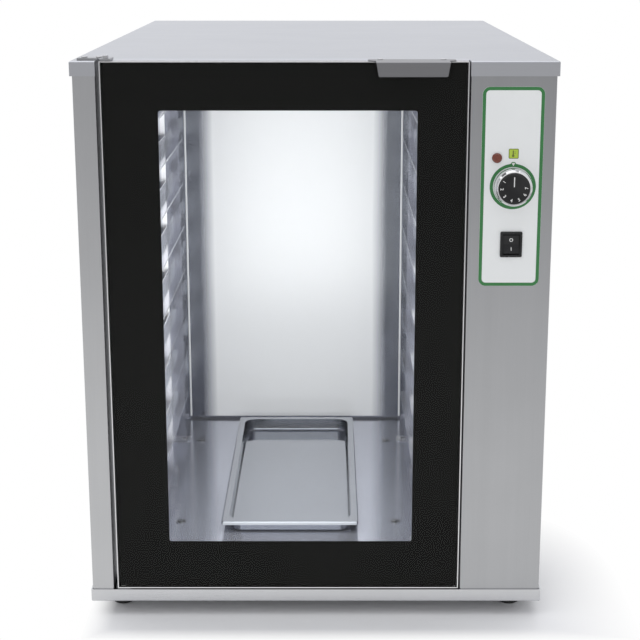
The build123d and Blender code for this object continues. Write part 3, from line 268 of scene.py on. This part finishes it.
def baffle_sheet(name, tint):
    """Bright-annealed sheet, mirror-like at its sides and satin across its middle and on its bends. The paler
    satin middle is a painted reflection, and the paler satin lines by the bends are painted highlights.
    """
    material, tree, output = shader_tree(name)
    place = add(tree, "ShaderNodeSeparateXYZ", Vector=object_place(tree))
    baffle_middle = (baffle_low.x + baffle_high.x) / 2
    aside = arithmetic(tree, "ABSOLUTE", arithmetic(tree, "SUBTRACT", place.outputs["X"], baffle_middle), 0.0)
    cloud = scaled_noise(tree, (9.0, 9.0, 1.5), detail=3.0)
    wavy = arithmetic(tree, "ADD", aside, remap(tree, cloud, 0.3, 0.7, -0.004, 0.004))
    # The paler, scattering middle band: a painted reflection.
    middle = remap(tree, wavy, BAFFLE_PAINTED_REFLECTION_HALF + BAFFLE_PAINTED_REFLECTION_FADE, BAFFLE_PAINTED_REFLECTION_HALF - BAFFLE_PAINTED_REFLECTION_FADE)
    bend = (baffle_high.x - baffle_low.x) / 2 - BAFFLE_FLANGE
    # A paler, scattering line on the front near each bend: a painted highlight.
    painted_crease_highlight = remap(tree, aside, bend - 3.5 * MM, bend - 2.5 * MM)
    face = remap(tree, place.outputs["Y"], baffle_low.y + 2.5 * MM, baffle_low.y + 2.0 * MM)
    # This satin mask carries both painted marks: the middle reflection and the bend highlights.
    satin = arithmetic(tree, "MAXIMUM", middle, arithmetic(tree, "MULTIPLY", painted_crease_highlight, face))
    fine = scaled_noise(tree, (1500.0, 1500.0, 12.0), detail=3.0)
    # The sides get a darker tone than the middle, which makes the middle's painted reflection.
    mirror = colour(*(value * factor for value, factor in zip(tint, (0.74, 0.76, 0.82))))
    painted_reflection_tone = mix_colours(tree, satin, mirror, colour(*tint))
    base = mix_colours(tree, arithmetic(tree, "MULTIPLY", fine, 0.02), painted_reflection_tone, colour(0.0, 0.0, 0.0))
    metal = arithmetic(tree, "SUBTRACT", 1.0, arithmetic(tree, "MULTIPLY", satin, BAFFLE_SCATTER))
    gloss = remap(tree, satin, 0.0, 1.0, 0.15, 0.24)
    rough = arithmetic(tree, "ADD", gloss, remap(tree, fine, 0.3, 0.7, 0.0, 0.02))
    steel = add(tree, "ShaderNodeBsdfPrincipled", Base_Color=base, Metallic=metal, Roughness=rough)
    tree.links.new(steel.outputs[0], output.inputs["Surface"])
    return material


def rack_post_finish():
    """Steel of the uprights: satin at the rear pair, brighter at the front pair and at the feet."""
    material = brushed_steel("upright_steel_bright", (0.95, 0.95, 0.98), 0.22, "z")
    tree = material.node_tree
    place = add(tree, "ShaderNodeSeparateXYZ", Vector=object_place(tree))
    post_low, post_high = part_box("left_uprights")
    foot = remap(tree, place.outputs["Z"], post_low.z + 2.0 * MM, post_low.z + 6.0 * MM, 1.0, 0.05)
    middle = (post_low.y + post_high.y) / 2
    front = remap(tree, place.outputs["Y"], middle - 100.0 * MM, middle + 100.0 * MM, 0.85, 0.05)
    feed(tree, principled_node(tree).inputs["Metallic"], arithmetic(tree, "MAXIMUM", foot, front))
    return material


def pan_finish():
    """Deep-drawn pan, polished; the front of its rolled rim scatters the light instead of mirroring it, a
    painted highlight along the front edge.
    """
    material = polished_metal("pan_steel_pressed", (0.43, 0.445, 0.485), 0.09)
    tree = material.node_tree
    place = add(tree, "ShaderNodeSeparateXYZ", Vector=object_place(tree))
    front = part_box("water_pan")[0].y
    # Nearly non-metallic along the rim's front: a painted highlight line.
    metal = remap(tree, place.outputs["Y"], front + 0.8 * MM, front + 1.6 * MM, 0.1, 1.0)
    feed(tree, principled_node(tree).inputs["Metallic"], metal)
    return material


def lamp_lens():
    """Amber-red lens of the pilot lamp, ribbed inside and unlit."""
    material, tree, output = shader_tree("pilot_lens_amber")
    cells = add(tree, "ShaderNodeTexVoronoi", Vector=object_place(tree), Scale=1400.0)
    facets = cells.outputs["Distance"]
    base = mix_colours(tree, facets, colour(0.10, 0.012, 0.004), colour(0.24, 0.045, 0.016))
    lens = add(tree, "ShaderNodeBsdfPrincipled", Base_Color=base, Roughness=0.12,
               Normal=bump_from(tree, facets, 0.3, 0.0002))
    lens.inputs["Coat Weight"].default_value = 0.6
    tree.links.new(lens.outputs[0], output.inputs["Surface"])
    return material


def mineral_wool():
    """Pale yellow-brown fibres, hidden between the liner and the casing."""
    material, tree, output = shader_tree("mineral_wool_batt")
    fibres = scaled_noise(tree, (260.0, 90.0, 700.0), detail=8.0, roughness=0.8)
    base = mix_colours(tree, fibres, colour(0.35, 0.31, 0.19), colour(0.62, 0.57, 0.40))
    wool = add(tree, "ShaderNodeBsdfPrincipled", Base_Color=base, Roughness=0.95,
               Normal=bump_from(tree, fibres, 0.9, 0.001))
    tree.links.new(wool.outputs[0], output.inputs["Surface"])
    return material


CASING_TINT = (0.42, 0.425, 0.437)
# The top cover is the casing's own steel with a paler tint: painted light on the top.
COVER_PAINTED_LIGHT_TINT = (0.54, 0.55, 0.58)
# The left side panel is the casing's own steel with a paler tint: painted light on that side.
POST_PAINTED_LIGHT_TINT = (0.50, 0.505, 0.515)
LINER_TINT = (0.56, 0.575, 0.65)
RACK_TINT = (0.84, 0.85, 0.90)
BAFFLE_FLANGE = 10.0 * MM
# Half width and edge fade of the baffle's paler middle band: a painted reflection.
BAFFLE_PAINTED_REFLECTION_HALF = 147.0 * MM
BAFFLE_PAINTED_REFLECTION_FADE = 12.0 * MM
BAFFLE_SCATTER = 0.86
BAFFLE_TINT = (0.675, 0.68, 0.69)
# The plinth is the casing's own steel with a paler tint: painted light, making up for the shaded floor that
# its front mirrors.
PLINTH_PAINTED_LIGHT_TINT = (0.59, 0.595, 0.61)
GREEN = (0.035, 0.20, 0.055)
LIME = (0.47, 0.62, 0.06)
OLIVE = (0.16, 0.20, 0.03)
WHITE_INK = (0.78, 0.78, 0.76)

casing_upright = brushed_steel("casing_steel_upright", CASING_TINT, 0.30, "z")
# Paler copies of the casing's steel on the left side, the top and the plinth: painted light.
post_steel = brushed_steel("casing_steel_left_painted_light", POST_PAINTED_LIGHT_TINT, 0.30, "z")
cover_steel = brushed_steel("cover_steel_painted_light", COVER_PAINTED_LIGHT_TINT, 0.30, "x", grain_depth=0.03, smudge=0.04)
plinth_steel = brushed_steel("plinth_steel_painted_light", PLINTH_PAINTED_LIGHT_TINT, 0.28, "x")
baffle_steel = baffle_sheet("baffle_steel_painted_reflection", BAFFLE_TINT)
upright_steel = rack_post_finish()
liner_upright = brushed_steel("liner_steel_upright", LINER_TINT, 0.17, "z", bump=0.04, satin=0.25)
liner_flat = brushed_steel("liner_steel_flat", LINER_TINT, 0.15, "y", bump=0.04, satin=0.2)
rack_steel = brushed_steel("rack_steel_formed", RACK_TINT, 0.11, "y", grain_depth=0.03, bump=0.03, satin=0.12)

finishes = {
    "casing_steel": casing_upright,
    "liner_steel": liner_upright,
    "rack_steel": rack_steel,
    "pan_steel": pan_finish(),
    "door_steel": brushed_steel("door_steel_trim", (0.78, 0.78, 0.79), 0.25, "z"),
    "handle_steel": brushed_steel("handle_steel_folded", (0.26, 0.26, 0.27), 0.33, "x"),
    "hinge_steel": polished_metal("hinge_steel_plated", (0.58, 0.585, 0.60), 0.22),
    "screw_steel": polished_metal("screw_steel_plated", (0.60, 0.60, 0.61), 0.22),
    "heater_steel": polished_metal("heater_steel_sheath", (0.34, 0.32, 0.30), 0.35),
    "knob_chrome": polished_metal("knob_chrome_plated", (0.80, 0.80, 0.81), 0.08),
    "door_glass": door_glass(),
    "black_plastic": moulded_plastic("black_plastic_moulded", (0.009, 0.009, 0.010), 0.34, specular=0.35),
    "rocker_plastic": moulded_plastic(
        "rocker_plastic_moulded", (0.006, 0.006, 0.007), 0.2, bump=0.05, specular=0.4
    ),
    "terminal_plastic": moulded_plastic("terminal_plastic_moulded", (0.55, 0.53, 0.47), 0.45),
    "nylon": moulded_plastic("nylon_bush", (0.70, 0.69, 0.64), 0.42),
    "lamp_lens": lamp_lens(),
    "overlay_film": printed_ink("overlay_film_pale", (0.87, 0.885, 0.875), 0.34, 0.02),
    "rubber": soft_rubber("rubber_foot", (0.022, 0.022, 0.022), 0.7),
    "silicone": soft_rubber("silicone_seal", (0.42, 0.42, 0.42), 0.55),
    "mineral_wool": mineral_wool(),
}
node_finishes = {
    "left_side_panel": post_steel,
    "top_cover": cover_steel,
    "base_tray": plinth_steel,
    "rear_baffle": baffle_steel,
    "left_uprights": upright_steel,
    "right_uprights": upright_steel,
    "chamber_floor": liner_flat,
    "chamber_ceiling": liner_flat,
}

for name, node in nodes.items():
    for place in node.material_slots:
        place.material = node_finishes.get(name) or finishes[place.material.name.split(".")[0]]


# Mesh helpers


def mesh_object(name, build, material):
    """A mesh piece made by a function that fills a bmesh."""
    shape = bmesh.new()
    build(shape)
    bmesh.ops.recalc_face_normals(shape, faces=shape.faces)
    mesh = bpy.data.meshes.new(name)
    shape.to_mesh(mesh)
    shape.free()
    piece = bpy.data.objects.new(name, mesh)
    bpy.context.scene.collection.objects.link(piece)
    piece.data.materials.append(material)
    return piece


def rounded_rectangle(half_width, half_height, radius, steps=8):
    """Outline points of a rectangle with round corners, anticlockwise from the right side."""
    points = []
    for quarter, (sx, sz) in enumerate(((1, 1), (-1, 1), (-1, -1), (1, -1))):
        centre = (sx * (half_width - radius), sz * (half_height - radius))
        for step in range(steps + 1):
            angle = math.radians(90 * (quarter + step / steps))
            points.append((centre[0] + radius * math.cos(angle), centre[1] + radius * math.sin(angle)))
    return points


def circle_points(radius, count=64):
    turns = [2 * math.pi * step / count for step in range(count)]
    return [(radius * math.cos(angle), radius * math.sin(angle)) for angle in turns]


def band(shape, outer, inner, centre, y_front, y_back):
    """A flat band facing the front between two outlines of as many points, with a thickness along Y."""
    x, z = centre
    rings = []
    for outline, y in ((outer, y_front), (inner, y_front), (inner, y_back), (outer, y_back)):
        rings.append([shape.verts.new((x + px, y, z + pz)) for px, pz in outline])
    count = len(outer)
    for index in range(count):
        after = (index + 1) % count
        for ring in range(4):
            first, second = rings[ring], rings[(ring + 1) % 4]
            shape.faces.new((first[index], first[after], second[after], second[index]))


def plate(shape, outline, centre, y_front, y_back):
    """A flat plate facing the front with a given outline and a thickness along Y."""
    x, z = centre
    front = [shape.verts.new((x + px, y_front, z + pz)) for px, pz in outline]
    back = [shape.verts.new((x + px, y_back, z + pz)) for px, pz in outline]
    shape.faces.new(front)
    shape.faces.new(back)
    count = len(outline)
    for index in range(count):
        after = (index + 1) % count
        shape.faces.new((front[index], front[after], back[after], back[index]))


# Black enamel border in the back of the door's glass

WINDOW_LEFT = -0.190
WINDOW_RIGHT = 0.1246
WINDOW_LOW = 0.103
WINDOW_HIGH = 0.665
WINDOW_CORNER = 0.0028
BORDER_INSET = 0.0004
BORDER_CORNER = 0.001
INK = 0.00008

glass_centre = ((glass_low.x + glass_high.x) / 2, (glass_low.z + glass_high.z) / 2)
window_centre = ((WINDOW_LEFT + WINDOW_RIGHT) / 2, (WINDOW_LOW + WINDOW_HIGH) / 2)
window_half = ((WINDOW_RIGHT - WINDOW_LEFT) / 2, (WINDOW_HIGH - WINDOW_LOW) / 2)


def glass_border(shape):
    offset = (window_centre[0] - glass_centre[0], window_centre[1] - glass_centre[1])
    half_width = (glass_high.x - glass_low.x) / 2 - BORDER_INSET
    half_height = (glass_high.z - glass_low.z) / 2 - BORDER_INSET
    outer = rounded_rectangle(half_width, half_height, BORDER_CORNER)
    window = rounded_rectangle(window_half[0], window_half[1], WINDOW_CORNER)
    inner = [(x + offset[0], z + offset[1]) for x, z in window]
    band(shape, outer, inner, glass_centre, glass_high.y - 2 * INK, glass_high.y - INK)


enamel = printed_ink("border_enamel_black", (0.0062, 0.0062, 0.0055), 0.5, specular=0.05)
border = mesh_object("glass_border", glass_border, enamel)
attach(border, "door")


# Print on the control plate, the knob and the rocker

PRINT_LIFT = 0.00003
PRINT_DEPTH = 0.00008
OVERLAY_CORNER = 9.0 * MM
BORDER_WIDTH = 4.2 * MM
RING_RADII = (24.3 * MM, 28.2 * MM)
NOTCH_HALF = 3.4 * MM
NOTCH_RISE = 2.2 * MM
ICON_RISE = 40.6 * MM
ICON_SIZE = 12.2 * MM
ICON_CORNER = 1.4 * MM
ICON_LINE = 0.9 * MM
MARK_RISE = 5.4 * MM
DIGIT_RADIUS = 14.9 * MM
DIGIT_SIZE = 5.4 * MM
DIGIT_ANGLES = (146, 183, 220, 258, 294, 330, 363)
POINTER_SPAN = (1.8 * MM, 14.2 * MM)
POINTER_HALF = 0.6 * MM

knob_centre = ((knob_low.x + knob_high.x) / 2, (knob_low.z + knob_high.z) / 2)
overlay_centre = ((overlay_low.x + overlay_high.x) / 2, (overlay_low.z + overlay_high.z) / 2)
overlay_half = ((overlay_high.x - overlay_low.x) / 2, (overlay_high.z - overlay_low.z) / 2)
print_front = overlay_low.y - PRINT_LIFT - PRINT_DEPTH
print_back = overlay_low.y - PRINT_LIFT

green_ink = printed_ink("ink_green", GREEN)
lime_ink = printed_ink("ink_lime", LIME)
olive_ink = printed_ink("ink_olive", OLIVE)
white_ink = printed_ink("ink_white", WHITE_INK)


def printed(name, build, material, body="cabinet"):
    """A film of ink as a thin piece that rides on a body."""
    piece = mesh_object(name, build, material)
    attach(piece, body)
    return piece


def overlay_border(shape):
    inset = 0.15 * MM
    outer = rounded_rectangle(overlay_half[0] - inset, overlay_half[1] - inset, OVERLAY_CORNER - inset)
    inner = rounded_rectangle(
        overlay_half[0] - BORDER_WIDTH, overlay_half[1] - BORDER_WIDTH, OVERLAY_CORNER - BORDER_WIDTH
    )
    band(shape, outer, inner, overlay_centre, print_front, print_back)


def dial_ring(shape):
    """The green ring round the knob, with the raised notch that marks the setting."""
    inner = circle_points(RING_RADII[0], 96)
    outer = []
    for x, z in circle_points(RING_RADII[1], 96):
        lifted = z > 0 and abs(x) < NOTCH_HALF
        outer.append((x, z + NOTCH_RISE) if lifted else (x, z))
    band(shape, outer, inner, knob_centre, print_front, print_back)


def dial_arrow(shape):
    """The pale triangle in the notch, pointing at the knob."""
    top = RING_RADII[1] + NOTCH_RISE * 0.45
    half = NOTCH_HALF * 0.62
    outline = [(-half, top), (half, top), (0.0, RING_RADII[0] + 0.9 * MM)]
    plate(shape, outline, knob_centre, print_front - PRINT_DEPTH, print_front - PRINT_LIFT)


icon_centre = (knob_centre[0], knob_centre[1] + ICON_RISE)


def icon_ground(shape):
    outline = rounded_rectangle(ICON_SIZE / 2, ICON_SIZE / 2, ICON_CORNER)
    plate(shape, outline, icon_centre, print_front, print_back)


def icon_frame(shape):
    outer = rounded_rectangle(ICON_SIZE / 2, ICON_SIZE / 2, ICON_CORNER)
    inner = rounded_rectangle(ICON_SIZE / 2 - ICON_LINE, ICON_SIZE / 2 - ICON_LINE, ICON_CORNER / 2)
    band(shape, outer, inner, icon_centre, print_front - PRINT_DEPTH, print_front - PRINT_LIFT)


def icon_thermometer(shape):
    """A plain thermometer: a bulb, a round-ended stem and two scale ticks."""
    x, z = icon_centre
    span = (print_front - PRINT_DEPTH, print_front - PRINT_LIFT)
    plate(shape, circle_points(1.55 * MM, 32), (x - 0.6 * MM, z - 2.6 * MM), *span)
    plate(shape, rounded_rectangle(0.75 * MM, 2.9 * MM, 0.7 * MM), (x - 0.6 * MM, z + 1.1 * MM), *span)
    for rise in (0.2, 2.2):
        plate(shape, rounded_rectangle(0.8 * MM, 0.28 * MM, 0.2 * MM), (x + 1.7 * MM, z + rise * MM), *span)


printed("overlay_border", overlay_border, green_ink)
printed("dial_ring", dial_ring, green_ink)
printed("dial_arrow", dial_arrow, white_ink)
printed("icon_ground", icon_ground, lime_ink)
printed("icon_frame", icon_frame, olive_ink)
printed("icon_thermometer", icon_thermometer, olive_ink)


def laid_on(node_name, piece):
    """Lays a flat mesh on the front of a CAD node: each point moves along Y to just above its surface."""
    mesh = nodes[node_name].data
    tree = BVHTree.FromPolygons(
        [vertex.co for vertex in mesh.vertices], [face.vertices[:] for face in mesh.polygons]
    )
    for vertex in piece.data.vertices:
        place = vertex.co
        hit = tree.ray_cast(Vector((place.x, front_y - 0.1, place.z)), Vector((0, 1, 0)))[0]
        if hit is not None:
            vertex.co.y = hit.y - PRINT_LIFT + place.y
    return piece


def pointer_mark(shape):
    outline = rounded_rectangle(POINTER_HALF, (POINTER_SPAN[1] - POINTER_SPAN[0]) / 2, POINTER_HALF * 0.9)
    centre = (knob_centre[0], knob_centre[1] + (POINTER_SPAN[0] + POINTER_SPAN[1]) / 2)
    plate(shape, outline, centre, -PRINT_DEPTH, 0.0)


def glyph(text, size):
    """The mesh of a character in the built-in font, centred on its own middle, in the XZ plane."""
    curve = bpy.data.curves.new("glyph", "FONT")
    curve.body = text
    curve.size = size
    curve.align_x = "CENTER"
    curve.align_y = "CENTER"
    curve.extrude = PRINT_DEPTH / 2
    curve.offset = size * 0.02
    source = bpy.data.objects.new("glyph", curve)
    bpy.context.scene.collection.objects.link(source)
    bpy.context.view_layer.update()
    mesh = bpy.data.meshes.new_from_object(source)
    bpy.data.objects.remove(source)
    points = [(vertex.co.x, vertex.co.z, vertex.co.y) for vertex in mesh.vertices]
    middle = [(max(axis) + min(axis)) / 2 for axis in zip(*points)]
    return [(x - middle[0], y - PRINT_DEPTH / 2, z - middle[2]) for x, y, z in points], [
        face.vertices[:] for face in mesh.polygons
    ]


def digit_marks(shape):
    """The dial's numbers, each turned so that its top points at the knob's middle."""
    for number, degrees in enumerate(DIGIT_ANGLES, 1):
        points, faces = glyph(str(number), DIGIT_SIZE)
        angle = math.radians(degrees)
        up = (-math.cos(angle), -math.sin(angle))
        right = (up[1], -up[0])
        made = []
        for px, py, pz in points:
            x = knob_centre[0] + DIGIT_RADIUS * math.cos(angle) + px * right[0] + pz * up[0]
            z = knob_centre[1] + DIGIT_RADIUS * math.sin(angle) + px * right[1] + pz * up[1]
            made.append(shape.verts.new((x, py, z)))
        for face in faces:
            shape.faces.new([made[index] for index in face])


rocker_centre = ((rocker_low.x + rocker_high.x) / 2, (rocker_low.z + rocker_high.z) / 2)


def off_mark(shape):
    centre = (rocker_centre[0], rocker_centre[1] + MARK_RISE)
    band(shape, circle_points(2.3 * MM, 48), circle_points(1.45 * MM, 48), centre, -PRINT_DEPTH, 0.0)


def on_mark(shape):
    centre = (rocker_centre[0], rocker_centre[1] - MARK_RISE)
    plate(shape, rounded_rectangle(0.45 * MM, 2.2 * MM, 0.4 * MM), centre, -PRINT_DEPTH, 0.0)


laid_on("knob", printed("knob_pointer", pointer_mark, white_ink, "thermostat_knob"))
laid_on("knob", printed("knob_numbers", digit_marks, white_ink, "thermostat_knob"))
laid_on("rocker", printed("rocker_off_mark", off_mark, white_ink, "switch_rocker"))
laid_on("rocker", printed("rocker_on_mark", on_mark, white_ink, "switch_rocker"))


# Stage

HORIZON = (0.62, 0.62, 0.63)
WHITE = colour(1, 1, 1)
FLOOR_RADIUS = 6.0
MIRRORED_FADE = (1.2, 3.5)

# Where the shade on the floor ends: from and to, off the object's own sides
SHADE_LEFT = (30.0 * MM, -5.0 * MM)
SHADE_FRONT = (-10.0 * MM, -40.0 * MM)
SHADE_RIGHT = (5.0 * MM, 125.0 * MM)
SHADE_BEHIND = (120.0 * MM, 340.0 * MM)
SHADE_BESIDE = (-20.0 * MM, 5.0 * MM)

WORLD_STRENGTH = 0.9
SUN_STRENGTH = 1.0
SUN_ANGLE = math.radians(90)
SUN_DIRECTION = (0.30, -0.30, -1.0)
LAMP_PLACE = (-0.042, -0.36, 0.39)
LAMP_TARGET = (-0.042, 0.3, 0.41)
LAMP_SIZE = (0.30, 0.52)
LAMP_POWER = 4.3


def shade_limits(tree, place):
    """Zero under the object and one where the floor is plain white.

    The shade reaches a little in front and further to the right of the object's front half.
    """
    parts = add(tree, "ShaderNodeSeparateXYZ", Vector=place)
    x, y = parts.outputs["X"], parts.outputs["Y"]
    left = remap(tree, x, *(low.x + reach for reach in SHADE_LEFT))
    front = remap(tree, y, *(low.y + reach for reach in SHADE_FRONT))
    right = remap(tree, x, *(high.x + reach for reach in SHADE_RIGHT))
    back = remap(tree, y, *(low.y + reach for reach in SHADE_BEHIND))
    beside = remap(tree, x, *(high.x + reach for reach in SHADE_BESIDE))
    back = arithmetic(tree, "MULTIPLY", back, beside)
    outward = add(tree, "ShaderNodeCombineXYZ", X=right, Y=back)
    corner = add(tree, "ShaderNodeVectorMath", {"operation": "LENGTH"})
    feed(tree, corner.inputs[0], outward.outputs[0])
    corner = arithmetic(tree, "MINIMUM", corner.outputs["Value"], 1.0)
    return arithmetic(tree, "MAXIMUM", arithmetic(tree, "MAXIMUM", left, front), corner)


def stage_floor():
    """A pale floor that keeps the shadow near the object and turns white further out."""
    material, tree, output = shader_tree("floor_pale")
    place = object_place(tree)
    distance = add(tree, "ShaderNodeVectorMath", {"operation": "LENGTH"})
    feed(tree, distance.inputs[0], place)
    fade = shade_limits(tree, place)
    paper = scaled_noise(tree, (40.0, 40.0, 40.0), detail=3.0)
    base = mix_colours(tree, paper, colour(0.90, 0.90, 0.905), colour(0.92, 0.92, 0.92))
    matt = add(tree, "ShaderNodeBsdfPrincipled", Base_Color=base, Roughness=0.6)
    path = add(tree, "ShaderNodeLightPath")
    far = remap(tree, distance.outputs["Value"], *MIRRORED_FADE)
    mirrored = arithmetic(tree, "MULTIPLY", path.outputs["Is Glossy Ray"], far)
    tone = mix_colours(tree, mirrored, WHITE, colour(*HORIZON))
    white = add(tree, "ShaderNodeEmission", Color=tone, Strength=1.0)
    seen = arithmetic(tree, "MAXIMUM", path.outputs["Is Camera Ray"], path.outputs["Is Glossy Ray"])
    seen = arithmetic(tree, "MAXIMUM", seen, path.outputs["Is Transmission Ray"])
    mix_surfaces(tree, output, arithmetic(tree, "MULTIPLY", seen, fade), matt, white)

    def disc(shape):
        bmesh.ops.create_circle(shape, cap_ends=True, segments=96, radius=FLOOR_RADIUS)

    floor = mesh_object("stage_floor", disc, material)


def world_light():
    """A soft studio round the object: white where the camera sees it, graded where metal mirrors it."""
    world = bpy.data.worlds.new("studio")
    bpy.context.scene.world = world
    world.use_nodes = True
    tree = world.node_tree
    tree.nodes.clear()
    output = tree.nodes.new("ShaderNodeOutputWorld")
    direction = add(tree, "ShaderNodeTexCoord").outputs["Generated"]
    parts = add(tree, "ShaderNodeSeparateXYZ", Vector=direction)
    behind = remap(tree, parts.outputs["Y"], -0.2, 0.6)
    low_sky = mix_colours(tree, behind, colour(*HORIZON), colour(0.93, 0.94, 0.97))
    height = remap(tree, parts.outputs["Z"], 0.15, 0.8)
    graded = mix_colours(tree, height, low_sky, colour(0.95, 0.96, 1.0))
    soft = add(tree, "ShaderNodeBackground", Color=graded, Strength=WORLD_STRENGTH)
    white = add(tree, "ShaderNodeBackground", Color=WHITE, Strength=1.0)
    path = add(tree, "ShaderNodeLightPath")
    seen = arithmetic(tree, "MAXIMUM", path.outputs["Is Camera Ray"], path.outputs["Is Transmission Ray"])
    mix_surfaces(tree, output, seen, soft, white)


def aimed_lamp(name, kind, direction):
    """A lamp in the scene that shines along a direction."""
    lamp = bpy.data.objects.new(name, bpy.data.lights.new(name, kind))
    bpy.context.scene.collection.objects.link(lamp)
    lamp.rotation_mode = "QUATERNION"
    lamp.rotation_quaternion = Vector(direction).to_track_quat("-Z", "Y")
    return lamp


def key_sun():
    """A very wide sun from above, behind and left, so that no steel mirrors a hard spot."""
    sun = aimed_lamp("key_sun", "SUN", SUN_DIRECTION)
    sun.data.energy = SUN_STRENGTH
    sun.data.angle = SUN_ANGLE


def chamber_lamp():
    """A soft oblong lamp inside the door that lights the chamber and isn't seen itself."""
    lamp = aimed_lamp("chamber_lamp", "AREA", Vector(LAMP_TARGET) - Vector(LAMP_PLACE))
    lamp.location = LAMP_PLACE
    lamp.data.shape = "RECTANGLE"
    lamp.data.size, lamp.data.size_y = LAMP_SIZE
    lamp.data.energy = LAMP_POWER
    lamp.visible_camera = False
    lamp.visible_glossy = False
    lamp.visible_transmission = False


def camera():
    """The camera at the photograph's viewing angle."""
    data = bpy.data.cameras.new("camera")
    eye = bpy.data.objects.new("camera", data)
    bpy.context.scene.collection.objects.link(eye)
    data.lens = LENS
    data.sensor_width = SENSOR_WIDTH
    data.shift_x, data.shift_y = SHIFT
    eye.location = (EYE_X, front_y - EYE_DISTANCE, EYE_Z)
    eye.rotation_euler = (math.radians(90) - PITCH, 0.0, 0.0)
    bpy.context.scene.camera = eye


stage_floor()
world_light()
key_sun()
chamber_lamp()
camera()

bpy.context.scene.view_settings.view_transform = "Standard"
